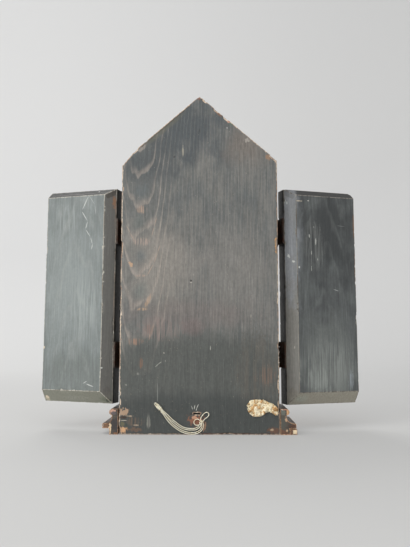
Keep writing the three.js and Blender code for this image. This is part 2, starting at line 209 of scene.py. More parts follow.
print("thread:", round(THREAD_DIAMETER / MM, 1), "mm, one turn in", round(PLY_TURN / MM, 1), "mm")

# %% [markdown]
# ## The four strands
#
# The old string has set hard and lies on the back as it was left: two pairs of strands run from
# the knot below the slit to the thick knot at the far end. Each route is a list of places on the
# back, x and z in millimetres and the height of the thread's middle above the wood. The strands
# of a pair lie side by side.

# %% Lay the four strands
STRAND_GAP = 0.15
STRAND_PITCH = 1.5
UPPER_ROUTE = [
    (36.0, 23.2, 1.0), (33.3, 20.7, 0.85), (30.4, 18.1, 0.85), (26.8, 14.6, 0.85),
    (23.4, 12.0, 0.85), (19.5, 9.0, 0.85), (15.8, 6.9, 0.85), (11.7, 5.7, 0.85),
    (7.6, 5.4, 0.85), (3.5, 5.7, 0.9), (0.9, 7.0, 1.3), (-0.6, 8.8, 1.8),
    (-1.8, 10.8, 1.9),
]
LOWER_ROUTE = [
    (36.2, 22.8, 2.35), (33.6, 19.9, 2.2), (31.4, 16.6, 1.9), (28.6, 12.7, 0.95),
    (25.1, 9.3, 0.85), (21.0, 6.2, 0.85), (17.4, 4.1, 0.85), (13.6, 2.6, 0.85),
    (10.2, 1.8, 0.85), (7.2, 1.6, 0.85), (4.2, 1.7, 0.85), (1.2, 2.5, 0.85),
    (-1.4, 4.3, 0.9), (-3.0, 6.8, 1.3), (-3.4, 9.0, 1.7), (-3.2, 11.0, 1.9),
]


def on_back(x, z, lift):
    return Vector((x * MM, BACK + (STRAND_GAP + lift) * MM, z * MM))


def beside_route(route, offset):
    """The route moved sideways in the plane of the back."""
    points = [on_back(*place) for place in route]
    moved = []
    for index, point in enumerate(points):
        along = points[min(index + 1, len(points) - 1)] - points[max(index - 1, 0)]
        along.y = 0
        along.normalize()
        moved.append(point + offset * MM * Vector((along.z, 0, -along.x)))
    return moved


def even_radius(share):
    return THREAD_DIAMETER / 2


strands = []
for level, route in (("upper", UPPER_ROUTE), ("lower", LOWER_ROUTE)):
    for label, side in (("inner", -1), ("outer", 1)):
        path = smooth_path(reversed(beside_route(route, side * STRAND_PITCH / 2)))
        strand = make_object(f"thread_{level}_{label}", [sweep_thread(path, even_radius, side)])
        strands.append((strand, f"string_{level}_{label}", path))
        print(strand.name, round(path_length(path) / MM, 1), "mm")

# %% [markdown]
# ## The two knots
#
# Below the slit the string is knotted: a few tight wraps, a small ring to one side and a bight
# that stands up as a loop. At the far end the strands are bound into a thick lump whose cut
# ends spread a little. Both are bundles of the same thread, swept along short routes.

# %% Tie the knot with its ring and loop
KNOT = (-2.4, 11.3)
RING_ROUTE = [
    (-1.6, 12.4, 2.6), (-0.2, 14.4, 2.2), (2.0, 15.0, 1.3), (4.4, 13.6, 0.85),
    (4.9, 11.2, 0.85), (3.4, 9.5, 1.1), (1.4, 9.4, 2.3), (-0.4, 10.2, 3.0),
    (-1.8, 11.2, 2.6),
]
LOOP_ROUTE = [
    (-2.2, 12.2, 2.4), (-1.5, 15.5, 1.5), (-3.2, 18.4, 0.9), (-5.4, 20.7, 0.9),
    (-8.0, 21.3, 0.9), (-9.4, 19.5, 0.9), (-8.1, 17.0, 0.9), (-5.6, 15.2, 1.3),
    (-3.2, 12.6, 2.4),
]
WRAP_PLACES = ((-0.9, 0.9, 62), (0.1, 0.1, 75), (1.0, -0.8, 58))
WRAP_HALF_WIDTH, WRAP_HALF_DEPTH, WRAP_LIFT = 1.75, 1.15, 1.75
WRAP_STEPS = 12


def thread_along(places, phase=0.0, radius_at=even_radius):
    return sweep_thread(smooth_path([on_back(*place) for place in places]), radius_at, phase)


def wrap(x, z, turn_degrees, half_width, half_depth, lift):
    """One turn of thread around a bundle, as a closed oval that stands on the back."""
    turn = math.radians(turn_degrees)
    places = []
    for step in range(WRAP_STEPS + 1):
        angle = math.tau * step / WRAP_STEPS
        out = half_width * math.cos(angle)
        height = lift + half_depth * math.sin(angle)
        places.append((x + out * math.cos(turn), z + out * math.sin(turn), height))
    return thread_along(places, turn)


knot_parts = [thread_along(RING_ROUTE), thread_along(LOOP_ROUTE, 1.0)]
for move_x, move_z, turn_degrees in WRAP_PLACES:
    place = (KNOT[0] + move_x, KNOT[1] + move_z)
    knot_parts.append(wrap(*place, turn_degrees, WRAP_HALF_WIDTH, WRAP_HALF_DEPTH, WRAP_LIFT))
knot = make_object("thread_knot", knot_parts)
print("knot:", len(knot.data.polygons), "faces")

# %% Bind the thick knot at the far end
END_FROM = Vector((35.2, 22.9))
END_TO = Vector((43.0, 30.2))
END_STRANDS = 7
END_HALF_WIDTH = 1.4
END_HALF_DEPTH = 0.95
END_WRAPS = (0.30, 0.44, 0.58)
END_WRAP_TURN = 122
END_WRAP_HALF_WIDTH, END_WRAP_HALF_DEPTH = 1.75, 1.25
END_LIFT = 1.9
END_FIRST_TURN = 0.4
END_CUT_STEP = 0.12
END_SPREAD = ((0.0, 0.35), (0.2, 0.8), (0.45, 0.75), (0.7, 1.0), (1.0, 0.8))
FRAY_START, FRAY_THINNING = 0.8, 0.45


def frayed_radius(share):
    frayed = max(0, share - FRAY_START) / (1 - FRAY_START)
    return THREAD_DIAMETER / 2 * (1 - FRAY_THINNING * frayed)


end_parts = []
end_along = (END_TO - END_FROM).normalized()
end_across = Vector((-end_along.y, end_along.x))
for index in range(END_STRANDS):
    angle = math.tau * index / END_STRANDS + END_FIRST_TURN
    cut = 1 - END_CUT_STEP * (index % 3)
    places = []
    for share, spread in END_SPREAD:
        middle = END_FROM.lerp(END_TO, share * cut)
        middle += end_across * spread * END_HALF_WIDTH * math.cos(angle + share)
        places.append((*middle, END_LIFT + END_HALF_DEPTH * spread * math.sin(angle + share)))
    end_parts.append(thread_along(places, angle, frayed_radius))
for share in END_WRAPS:
    middle = END_FROM.lerp(END_TO, share)
    oval = (END_WRAP_HALF_WIDTH, END_WRAP_HALF_DEPTH)
    end_parts.append(wrap(*middle, END_WRAP_TURN, *oval, END_LIFT))
end_knot = make_object("thread_end_knot", end_parts)
print("end knot:", len(end_knot.data.polygons), "faces")

# %% [markdown]
# ## Stage and light
#
# The altarpiece stands on a pale floor that curves up far behind it on all sides, so there is
# no horizon in any view. The light is a large window to the left of the photograph, on the
# object's back side, with a weaker light from above and another for the front.

# %% Lay the floor, a disc whose rim curves up
FLOOR_RADIUS = 1.3
RIM_RADIUS = 1.1
RIM_TOP = 2.6
RIM_STEPS = 16
FLOOR_SPOKES = 96
HUB_RADIUS = 0.02


def screen_tone(red, green, blue):
    """A colour given as the 0 to 255 values of a screen, as Blender's linear values."""
    values = [channel / 255 for channel in (red, green, blue)]
    linear = [v / 12.92 if v <= 0.04045 else ((v + 0.055) / 1.055) ** 2.4 for v in values]
    return (*linear, 1.0)


FLOOR_TONE = screen_tone(170, 170, 169)
GLOW_NEAR, GLOW_FAR = 0.21, 0.44
GLOW_START = 0.3 * FLOOR_RADIUS
GLOW_AT_SHADE_SIDE = 0.66

floor_profile = [(HUB_RADIUS, 0.0), (FLOOR_RADIUS, 0.0)]
for step in range(1, RIM_STEPS + 1):
    angle = math.pi / 2 * step / RIM_STEPS
    out = FLOOR_RADIUS + RIM_RADIUS * math.sin(angle)
    floor_profile.append((out, RIM_RADIUS * (1 - math.cos(angle))))
floor_profile.append((FLOOR_RADIUS + RIM_RADIUS, RIM_TOP))
floor_vertices = []
floor_faces = [tuple(range(FLOOR_SPOKES))]
for radius, height in floor_profile:
    for spoke in range(FLOOR_SPOKES):
        angle = math.tau * spoke / FLOOR_SPOKES
        floor_vertices.append((radius * math.cos(angle), radius * math.sin(angle), height))
for ring in range(len(floor_profile) - 1):
    for spoke in range(FLOOR_SPOKES):
        near = ring * FLOOR_SPOKES + spoke
        beside = ring * FLOOR_SPOKES + (spoke + 1) % FLOOR_SPOKES
        floor_faces.append((near, near + FLOOR_SPOKES, beside + FLOOR_SPOKES, beside))
floor_mesh = bpy.data.meshes.new("floor")
floor_mesh.from_pydata(floor_vertices, [], floor_faces)
floor_mesh.shade_smooth()
floor = add_object("floor", floor_mesh)
print("floor:", round(FLOOR_RADIUS + RIM_RADIUS, 2), "m to its rim")

# %% Hang the lights
Light = namedtuple("Light", "place size power tone")
LIGHTS = {
    "window": Light((1.3, 1.15, 0.5), 1.2, 17.0, (1.0, 0.99, 0.975)),
    "ceiling": Light((0.2, 1.1, 1.7), 1.6, 13.0, (1.0, 0.98, 0.95)),
    "front": Light((0.5, -1.0, 1.4), 1.0, 9.0, (1.0, 0.99, 0.97)),
}
LIGHT_TARGET = Vector((0, 0, 0.17))
WORLD_STRENGTH = 0.5
WORLD_TONE = (0.95, 0.97, 1.0, 1)

for light_name, facts in LIGHTS.items():
    light_data = bpy.data.lights.new(light_name, "AREA")
    light_data.size = facts.size
    light_data.energy = facts.power
    light_data.color = facts.tone
    light = add_object(light_name, light_data)
    light.location = facts.place
    light.rotation_euler = (LIGHT_TARGET - light.location).to_track_quat("-Z", "Y").to_euler()
    light.visible_camera = False

world = bpy.data.worlds.new("soft_room")
world.use_nodes = True
world.node_tree.nodes["Background"].inputs["Color"].default_value = WORLD_TONE
world.node_tree.nodes["Background"].inputs["Strength"].default_value = WORLD_STRENGTH
bpy.context.scene.world = world
bpy.context.scene.view_settings.view_transform = "Standard"
print("lights:", ", ".join(LIGHTS))

# %% [markdown]
# ## Short calls for nodes
#
# A painted and worn surface takes a few dozen nodes. A helper that adds one node, fills its
# inputs and returns its output keeps a finish readable: a number, a colour or another node's
# output can be given to any input.

# %% A helper for nodes and a class that builds a finish
def add_node(tree, kind, inputs=None, output=0, **settings):
    """Adds a node. Each input is a number, a colour or the output of another node."""
    made = tree.nodes.new(kind)
    for key, value in settings.items():
        setattr(made, key, value)
    for socket, value in (inputs or {}).items():
        if isinstance(value, bpy.types.NodeSocket):
            tree.links.new(value, made.inputs[socket])
        else:
            made.inputs[socket].default_value = value
    return made.outputs[output]


class Finish:
    """A material whose nodes are added by short calls."""

    def __init__(self, name):
        self.material = bpy.data.materials.new(name)
        self.material.use_nodes = True
        self.tree = self.material.node_tree
        self.shader = self.tree.nodes["Principled BSDF"]

    def node(self, kind, inputs=None, output=0, **settings):
        return add_node(self.tree, kind, inputs, output, **settings)

    def math(self, operation, first, second=0.0, third=0.0):
        return self.node("ShaderNodeMath", {0: first, 1: second, 2: third}, operation=operation)

    def axes(self, vector):
        made = self.tree.nodes.new("ShaderNodeSeparateXYZ")
        self.tree.links.new(vector, made.inputs[0])
        return made.outputs

    def plane(self, x, z, by_x, by_z, zero_x, zero_z):
        """A value that grows by by_x and by_z a millimetre and is 0 at the given place."""
        start = self.math("MULTIPLY_ADD", x, by_x, -by_x * zero_x - by_z * zero_z)
        return self.math("MULTIPLY_ADD", z, by_z, start)

    def length(self, first, second):
        square = self.math("MULTIPLY", first, first)
        return self.math("SQRT", self.math("MULTIPLY_ADD", second, second, square))

    def object_place(self):
        return self.node("ShaderNodeTexCoord", output="Object")

    def place(self, vector, move=(0, 0, 0), turn=(0, 0, 0), size=(1, 1, 1)):
        """The vector as seen from a frame that is moved, turned and sized."""
        inputs = {"Vector": vector, "Location": move, "Rotation": turn, "Scale": size}
        return self.node("ShaderNodeMapping", inputs, vector_type="TEXTURE")

    def noise(self, vector, size=(1, 1, 1), detail=3.0, roughness=0.55):
        inputs = {"Vector": self.place(vector, size=size), "Scale": 1.0}
        inputs |= {"Detail": detail, "Roughness": roughness}
        return self.node("ShaderNodeTexNoise", inputs)

    def fade(self, value, start, end, low=0.0, high=1.0):
        """Goes smoothly from low to high while the value goes from start to end."""
        inputs = {0: value, 1: start, 2: end, 3: low, 4: high}
        return self.node("ShaderNodeMapRange", inputs, interpolation_type="SMOOTHSTEP")

    def blend(self, share, under, over):
        return self.node("ShaderNodeMix", {0: share, 6: under, 7: over}, 2, data_type="RGBA")

    def brighten(self, colour, factor):
        return self.node("ShaderNodeHueSaturation", {"Color": colour, "Value": factor})

    def attribute(self, name):
        return self.node("ShaderNodeAttribute", output="Fac", attribute_name=name)

    def sum_of(self, *pairs):
        """The sum of values, each times its weight."""
        total = self.math("MULTIPLY", *pairs[0])
        for pair in pairs[1:]:
            total = self.math("ADD", total, self.math("MULTIPLY", *pair))
        return total

    def finish(self, colour, roughness, height, depth, **constants):
        """Joins colour, roughness and a bump of the given depth in metres to the shader."""
        bump = self.node("ShaderNodeBump", {"Height": height, "Distance": depth, "Strength": 1.0})
        linked = {"Base Color": colour, "Roughness": roughness, "Normal": bump}
        for socket, value in linked.items():
            self.tree.links.new(value, self.shader.inputs[socket])
        for label, value in constants.items():
            self.shader.inputs[label.replace("_", " ")].default_value = value
        return self.material


print("finish calls:", [name for name in dir(Finish) if not name.startswith("_")])

# %% Paint the floor, which glows a little towards its rim
pale = Finish("pale_floor")
floor_place = pale.object_place()
around = pale.node("ShaderNodeVectorMath", {0: floor_place}, "Value", operation="LENGTH")
glow = pale.fade(around, GLOW_START, FLOOR_RADIUS + RIM_RADIUS, GLOW_NEAR, GLOW_FAR)
across_floor = pale.axes(floor_place)["X"]
# The floor's glow is stronger on the window's side: painted light, as if the window lit that side
window_side_painted_light = pale.fade(across_floor, -FLOOR_RADIUS, FLOOR_RADIUS, GLOW_AT_SHADE_SIDE, 1.0)
glow = pale.math("MULTIPLY", glow, window_side_painted_light)
pale.tree.links.new(glow, pale.shader.inputs["Emission Strength"])
pale.shader.inputs["Emission Color"].default_value = (1, 1, 1, 1)
pale.shader.inputs["Base Color"].default_value = FLOOR_TONE
pale.shader.inputs["Roughness"].default_value = 0.9
pale.shader.inputs["Specular IOR Level"].default_value = 0.1
floor.data.materials.append(pale.material)
print("floor glows from", GLOW_NEAR, "to", GLOW_FAR)

# %% [markdown]
# ## Marks on a painted face
#
# A mark is an oval in the plane of the face with a ragged edge. Its kind says how it looks: an
# area fades softly, a wash ends with a brush's edge, a patch is crisp, streaks follow the grain
# and a line is a scratch. A facet has square corners and covers one bevel. The main marks'
# places come from the photograph, in millimetres.

# %% Describe marks and lay them over a colour
Mark = namedtuple("Mark", "x z half_x half_z tone strength kind turn")
# How far noise pushes the edge about, and where the mark starts and ends to fade
MARK_EDGES = {
    "area": (0.9, 1.15, 0.25),
    "wash": (0.12, 1.1, 0.86),
    "patch": (1.5, 1.0, 0.7),
    "streaks": (0.7, 1.1, 0.5),
    "line": (0.5, 1.0, 0.5),
    "facet": (0.04, 1.03, 0.97),
}
STREAK_FADE = (0.42, 0.6)


def mark(x, z, half_x, half_z, tone, strength=1.0, kind="area", turn=0.0):
    return Mark(x, z, half_x, half_z, screen_tone(*tone), strength, kind, math.radians(turn))


def scratch(points, half_width, tone, strength=0.8):
    """A scratch through several points, as a line between each two of them."""
    marks = []
    for (x0, z0), (x1, z1) in zip(points, points[1:]):
        turn = math.degrees(math.atan2(x1 - x0, z1 - z0))
        half_length = math.hypot(x1 - x0, z1 - z0) / 2 + half_width
        middle = ((x0 + x1) / 2, (z0 + z1) / 2)
        marks.append(mark(*middle, half_width, half_length, tone, strength, "line", turn))
    return marks


def add_marks(finish, colour, place, marks, noises, reach):
    """Lays the marks over a colour one after another, where reach lets them."""
    x, _, z = finish.axes(place)
    streaky = finish.math("MULTIPLY", finish.fade(noises.streaks, *STREAK_FADE), reach)
    pushes = {}
    for kind, (push, _, _) in MARK_EDGES.items():
        ragged = noises.broad if kind in ("area", "wash") else noises.fine
        pushes[kind] = finish.math("MULTIPLY_ADD", ragged, 2 * push, -push)
    for item in marks:
        cosine, sine = math.cos(item.turn), math.sin(item.turn)
        across = finish.plane(x, z, cosine / item.half_x, -sine / item.half_x, item.x, item.z)
        upward = finish.plane(x, z, sine / item.half_z, cosine / item.half_z, item.x, item.z)
        if item.kind == "facet":
            across = finish.math("ABSOLUTE", across)
            distance = finish.math("MAXIMUM", across, finish.math("ABSOLUTE", upward))
        else:
            distance = finish.length(across, upward)
        distance = finish.math("ADD", distance, pushes[item.kind])
        _, outer, inner = MARK_EDGES[item.kind]
        mask = finish.fade(distance, outer, inner, high=item.strength)
        mask = finish.math("MULTIPLY", mask, streaky if item.kind == "streaks" else reach)
        colour = finish.blend(mask, colour, item.tone)
    return colour


print("kinds of mark:", ", ".join(MARK_EDGES))

# %% [markdown]
# ## Painted, worn wood
#
# All the wood has the same make-up: a tree's rings, a thin coat of paint through which they
# show, blotches where the coat is thinner or rubbed and others that are painted sheen or
# painted shade, fine random scuffs, the marks, and bare wood along the edges. Faces in front of
# the painted face take one side colour, which on the board and the wings is near black as
# painted shade. The rings run round a line behind the face that leans a little. A flat cut
# gives nested arcs near that line and straight grain elsewhere, as on a real sawn board.
#
# A wing hangs at a slant and a rail lies across, and their grain must follow. So each finish
# gets the own frame of its piece, as a matrix.

# %% Mix the painted wood
# The side colour is for every face in front of the painted face; on the board and the wings it is
# near black, painted shade for the narrow slots between them
Coat = namedtuple("Coat", "dark light bare bare_dark ring_tone ring_strength contrast side")
Pith = namedtuple("Pith", "x depth lean z pitch")
Noises = namedtuple("Noises", "broad fine streaks hair")
# Sizes of the noises in millimetres: across the grain, into the wood and along the grain
BROAD_SIZE = (13, 13, 22)
FINE_SIZE = (2.2, 2.2, 3.2)
STREAK_SIZE = (1.1, 1.1, 30)
HAIR_SIZE = (0.42, 0.42, 11)
SCUFF_SIZE, SCUFF_TURN = (0.5, 0.5, 5), (0, 0.35, 0)
SPECK_SIZE = (0.9, 0.9, 1.3)
RING_WARP, RING_WARP_SIZE = 5.0, (16, 16, 60)
# A ring is a line at the end of each pitch, and rings far from the heart are fainter
RING_RISE, RING_FALL = (0.62, 0.88), (1.0, 0.92)
HEART_FADE, FAR_RING_SHARE = (34.0, 18.0), 0.3
RUBBED_STRENGTH = 0.35
WOOD_BUMP = 0.3 * MM


def own_place(finish, own, mirror=1):
    """Object coordinates in millimetres in a piece's own frame."""
    size = (mirror * MM, MM, MM)
    return finish.place(finish.object_place(), own.translation, own.to_euler(), size)


def tree_rings(finish, place, pith):
    """Thin light lines where a tree's rings meet the surface, and a softer tone between."""
    x, y, z = finish.axes(place)
    across = finish.math("SUBTRACT", x, pith.x)
    depth = finish.plane(z, y, -pith.lean, -1.0, pith.z, pith.depth)
    warp = finish.noise(place, RING_WARP_SIZE, 2.0)
    radius = finish.math("MULTIPLY_ADD", warp, RING_WARP, finish.length(across, depth))
    share = finish.math("FRACT", finish.math("DIVIDE", radius, pith.pitch))
    rise = finish.fade(share, *RING_RISE)
    line = finish.math("MULTIPLY", rise, finish.fade(share, *RING_FALL))
    near_heart = finish.fade(finish.math("ABSOLUTE", across), *HEART_FADE, FAR_RING_SHARE)
    line = finish.math("MULTIPLY", line, near_heart)
    wander = finish.node("ShaderNodeCombineXYZ", {0: radius, 2: finish.math("MULTIPLY", z, 0.02)})
    tone = finish.noise(wander, (7, 1, 1), 3.0, 0.6)
    return line, tone


print("coat:", Coat._fields, "pith:", Pith._fields)

# %% Build up the paint in layers
def wood_noises(finish, run):
    """Four noises that every layer shares, all drawn out along the grain."""
    return Noises(
        broad=finish.noise(run, BROAD_SIZE, 4.0),
        fine=finish.noise(run, FINE_SIZE, 4.0, 0.65),
        streaks=finish.noise(run, STREAK_SIZE, 4.0, 0.6),
        hair=finish.noise(run, HAIR_SIZE, 3.0, 0.6),
    )


def coat_of_paint(finish, place, rings, coat, areas, noises, reach):
    """The coat: two tones, the areas, the rings that show through and a fine tooth."""
    line, ring_tone = rings
    grain = finish.sum_of((ring_tone, 0.45), (noises.streaks, 0.25), (noises.broad, 0.3))
    colour = finish.blend(finish.fade(grain, 0.40, 0.60), coat.dark, coat.light)
    under_rings = list(itertools.takewhile(lambda item: item.kind == "area", areas))
    over_rings = areas[len(under_rings):]
    colour = add_marks(finish, colour, place, under_rings, noises, reach)
    faint = finish.fade(noises.broad, 0.3, 0.6, 0.3)
    faint = finish.math("MULTIPLY", faint, coat.ring_strength)
    colour = finish.blend(finish.math("MULTIPLY", line, faint), colour, coat.ring_tone)
    colour = add_marks(finish, colour, place, over_rings, noises, reach)
    limits = (1 - coat.contrast, 1 + coat.contrast)
    tooth = finish.fade(noises.hair, 0.3, 0.7, *limits)
    tooth = finish.math("MULTIPLY", tooth, finish.fade(noises.streaks, 0.32, 0.68, *limits))
    tooth = finish.math("MULTIPLY", tooth, finish.fade(noises.fine, 0.3, 0.7, *limits))
    return finish.brighten(colour, tooth)


def rubbed_and_bare(finish, run, colour, coat, noises, worn_width):
    """Random scuffs and specks, then bare wood along the edges and in the bites."""
    scuffs = finish.noise(finish.place(run, turn=SCUFF_TURN), SCUFF_SIZE, 2.0)
    specks = finish.noise(run, SPECK_SIZE, 1.0)
    rubbed = finish.fade(scuffs, 0.735, 0.80)
    rubbed = finish.math("MAXIMUM", rubbed, finish.fade(specks, 0.76, 0.80))
    rubbed = finish.math("MULTIPLY", rubbed, RUBBED_STRENGTH)
    colour = finish.blend(rubbed, colour, coat.bare)
    wood = finish.blend(finish.fade(noises.streaks, 0.38, 0.62), coat.bare_dark, coat.bare)
    ragged = finish.math("SUBTRACT", noises.fine, 0.5)
    ragged = finish.math("MULTIPLY", ragged, 2.8 * worn_width)
    distance = finish.math("ADD", finish.attribute("edge_distance"), ragged)
    worn = finish.fade(distance, worn_width, worn_width * 0.45)
    worn = finish.math("MAXIMUM", worn, finish.fade(finish.attribute("bite"), 0.25, 0.5))
    return finish.blend(worn, colour, wood), worn


def painted_wood(name, own, mirror, coat, pith, areas, marks, face, worn_width, grain=(0, 0, 0)):
    """A coat over ringed wood. Marks lie only where the own y is past the face's depth."""
    finish = Finish(name)
    place = own_place(finish, own, mirror)
    run = finish.place(place, turn=grain)
    reach = finish.fade(finish.axes(place)["Y"], face - 1.2, face - 0.4)
    noises = wood_noises(finish, run)
    rings = tree_rings(finish, run, pith)
    colour = coat_of_paint(finish, place, rings, coat, areas, noises, reach)
    colour = add_marks(finish, colour, place, marks, noises, reach)
    # Faces in front of the painted face take the side colour: painted shade on the board and the
    # wings
    colour = finish.blend(reach, coat.side, colour)
    colour, worn = rubbed_and_bare(finish, run, colour, coat, noises, worn_width)
    roughness = finish.math("ADD", noises.fine, noises.streaks)
    roughness = finish.fade(roughness, 0.7, 1.3, 0.42, 0.62)
    roughness = finish.math("MAXIMUM", roughness, finish.math("MULTIPLY", worn, 0.85))
    height = finish.sum_of(
        (noises.streaks, 0.45), (noises.hair, 0.35), (rings[0], -0.1), (noises.fine, 0.2)
    )
    return finish.finish(colour, roughness, height, WOOD_BUMP, Specular_IOR_Level=0.5)


print("layers: coat, rings, tooth, marks, side, scuffs, bare wood")

# %% [markdown]
# ## Smooth noise for wear
#
# The paint's noise lives in the material, but the shape needs noise too. A small value noise in
# NumPy gives every vertex a steady random number that changes smoothly from place to place.

# %% Smooth noise for vertices
def lattice_value(cells, seed):
    """A steady random number from 0 to 1 for each whole-number cell."""
    mixed = cells[:, 0] * 73856093 ^ cells[:, 1] * 19349663 ^ cells[:, 2] * 83492791
    mixed = (mixed ^ seed * 26544357) & 0x7FFFFFFF
    mixed = (mixed ^ mixed >> 13) * 1274126177 & 0x7FFFFFFF
    return ((mixed ^ mixed >> 15) & 0xFFFF) / 0xFFFF


def smooth_noise(points, size, seed):
    """Values from -1 to 1 that change over about one size, which may differ by axis."""
    scaled = points / np.asarray(size, float)
    cells = np.floor(scaled).astype(np.int64)
    part = scaled - cells
    ease = part * part * (3 - 2 * part)
    total = np.zeros(len(points))
    for corner in itertools.product((0, 1), repeat=3):
        weight = np.prod(np.where(corner, ease, 1 - ease), axis=1)
        total += weight * lattice_value(cells + np.array(corner), seed)
    return 2 * total - 1


def smooth_step(values, start, end):
    share = np.clip((values - start) / (end - start), 0, 1)
    return share * share * (3 - 2 * share)


print("noise at one point:", np.round(smooth_noise(np.array([[0.5, 0.2, 0.1]]), 1.0, 3), 3))

# %% [markdown]
# ## Wearing the wood
#
# The solids have knife-sharp edges. A real old board has edges that are rounded by hands and
# chipped by knocks, and its faces are not quite flat. Each wooden solid is copied and merged,
# its long outer edges are rounded, and it is cut into a fine grid. Then noise moves its
# vertices: a little on the faces, along the grain, and inwards in bites along the edges. Each
# vertex also keeps its distance from the nearest edge and how deep a bite is there, and the
# paint reads both.

# %% Copy a solid, round its edges and cut it into a grid
WELD = 1e-6
SHARP = math.radians(28)
CONTOUR_LENGTH = 0.3 * MM
EDGE_CUTS = (0.8, 1.8, 3.2)
Wear = namedtuple("Wear", "rounding bite bite_size wave seed knocks", defaults=((),))
Knock = namedtuple("Knock", "place radius depth")


def merged_copy(node, own):
    """The node's mesh in the piece's own frame, with its triangles joined into flat faces."""
    bm = bmesh.new()
    bm.from_mesh(frame["nodes"][node].data)
    bmesh.ops.remove_doubles(bm, verts=bm.verts, dist=WELD)
    bm.transform(own.inverted())
    bmesh.ops.dissolve_limit(bm, angle_limit=math.radians(0.5), verts=bm.verts, edges=bm.edges)
    return bm


def outer_edges(bm, shortest):
    """The sharp edges that stick out and are at least so long."""
    return [
        edge for edge in bm.edges
        if edge.is_manifold and edge.calc_length() > shortest
        and edge.calc_face_angle_signed(0) > SHARP
    ]


def cut_corner(bm, point, normal):
    """Cuts off what lies past a plane and closes the cut."""
    everything = [*bm.verts, *bm.edges, *bm.faces]
    bmesh.ops.bisect_plane(bm, geom=everything, plane_co=point, plane_no=normal, clear_outer=True)
    bmesh.ops.holes_fill(bm, edges=[edge for edge in bm.edges if edge.is_boundary])


def cut_grid(bm, steps, edge_cuts=EDGE_CUTS):
    """Cuts the mesh by planes across each axis, closer together near its two ends."""
    for axis, step in enumerate(steps):
        places = [vertex.co[axis] for vertex in bm.verts]
        low, high = min(places), max(places)
        cuts = [end + sign * cut * MM for end, sign in ((low, 1), (high, -1)) for cut in edge_cuts]
        count = max(1, round((high - low) / (step * MM)))
        cuts += [low + (high - low) * index / count for index in range(1, count)]
        normal = Vector([float(axis == other) for other in range(3)])
        for cut in cuts:
            everything = [*bm.verts, *bm.edges, *bm.faces]
            bmesh.ops.bisect_plane(
                bm, geom=everything, dist=1e-7, plane_co=normal * cut, plane_no=normal
            )


print("cuts near each end, in mm:", EDGE_CUTS)

# %% Wave the faces and bite the edges
# Lengths and widths of the waves and ridges on a face, in millimetres
WAVE_LENGTH, WAVE_WIDTH = 40, 14
RIDGE_LENGTH, RIDGE_WIDTH = 30, 2.4
KNOCK_ROUGHNESS = 1.6


def vertex_array(mesh, source, label):
    values = np.zeros(len(mesh.vertices) * 3, np.float32)
    source.foreach_get(label, values)
    return values.reshape(-1, 3).astype(float)


def edge_distance(points, edges):
    """Distance from each point to the nearest of the straight edges."""
    nearest = np.full(len(points), 1.0)
    for start, end in edges:
        along = end - start
        share = np.clip((points - start) @ along / (along @ along), 0, 1)
        gap = np.linalg.norm(points - start - share[:, None] * along, axis=1)
        nearest = np.minimum(nearest, gap)
    return nearest


def wear_down(mesh, edges, wear, along):
    """Waves on the faces and bites along the edges. Returns edge distance and bite depth."""
    places = vertex_array(mesh, mesh.vertices, "co")
    normals = vertex_array(mesh, mesh.vertex_normals, "vector")
    distance = edge_distance(places, edges)
    seed = wear.seed
    size = wear.bite_size * MM
    bites = smooth_noise(places, size, seed) + 0.5 * smooth_noise(places, size / 3, seed + 1)
    bites += 0.6 * smooth_noise(places, size * 6, seed + 2)
    bites = smooth_step(bites, 0.35, 1.1)
    bites *= 1 - smooth_step(distance, 0, (2.2 * wear.rounding + wear.bite) * MM)
    depth = bites * wear.bite * MM
    for knock in wear.knocks:
        away = np.linalg.norm((places / MM - knock.place) / knock.radius, axis=1)
        away += 0.5 * smooth_noise(places, KNOCK_ROUGHNESS * MM, seed + 5)
        hit = 1 - smooth_step(away, 0.45, 1.0)
        hit *= 1 - smooth_step(distance, 1 * MM, 3 * MM)
        depth = np.maximum(depth, hit * knock.depth * MM)
        bites = np.maximum(bites, hit)
    on_grain = np.arange(3) == along
    sizes = np.where(on_grain, WAVE_LENGTH, WAVE_WIDTH) * MM
    waves = smooth_noise(places, sizes, seed + 3) + 0.5 * smooth_noise(places, sizes / 5, seed + 4)
    sizes = np.where(on_grain, RIDGE_LENGTH, RIDGE_WIDTH) * MM
    ridges = smooth_noise(places, sizes, seed + 6)
    depth += (waves + 0.5 * ridges + 2) / 4 * wear.wave * MM
    moved = places - normals * depth[:, None]
    mesh.vertices.foreach_set("co", moved.astype(np.float32).ravel())
    return distance / MM, bites


print("wear:", Wear._fields)

# %% Put the worn copy in place of its node
CASE_FRAME = Matrix.Identity(4)
SHARP_AFTER = math.radians(38)


def hand_over(piece, node, body):
    """Lets the piece stand for a solid: the solid is hidden and the piece goes on a body."""
    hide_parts(node)
    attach(piece, body)


def worn_piece(node, body, wear, steps, own=CASE_FRAME, along=2, shortest=15.0, corner=None):
    """A rounded, gridded and worn copy of a wooden solid, which replaces it."""
    bm = merged_copy(node, own)
    if corner:
        cut_corner(bm, *corner)
    contour = outer_edges(bm, CONTOUR_LENGTH)
    edges = [(np.array(edge.verts[0].co), np.array(edge.verts[1].co)) for edge in contour]
    rounded = [edge for edge in contour if edge.calc_length() > shortest * MM]
    bmesh.ops.bevel(
        bm, geom=rounded, offset=wear.rounding * MM, offset_type="OFFSET", segments=2,
        profile=0.5, affect="EDGES", clamp_overlap=True,
    )
    cut_grid(bm, steps)
    mesh = bpy.data.meshes.new("worn_" + node)
    bm.to_mesh(mesh)
    bm.free()
    distance, bites = wear_down(mesh, edges, wear, along)
    for label, values in (("edge_distance", distance), ("bite", bites)):
        layer = mesh.attributes.new(label, "FLOAT", "POINT")
        layer.data.foreach_set("value", values.astype(np.float32))
    mesh.transform(own)
    mesh.shade_smooth()
    mesh.set_sharp_from_angle(angle=SHARP_AFTER)
    piece = add_object("worn_" + node, mesh)
    hand_over(piece, node, body)
    print(piece.name, "faces:", len(mesh.polygons), "edges rounded:", len(rounded))
    return piece


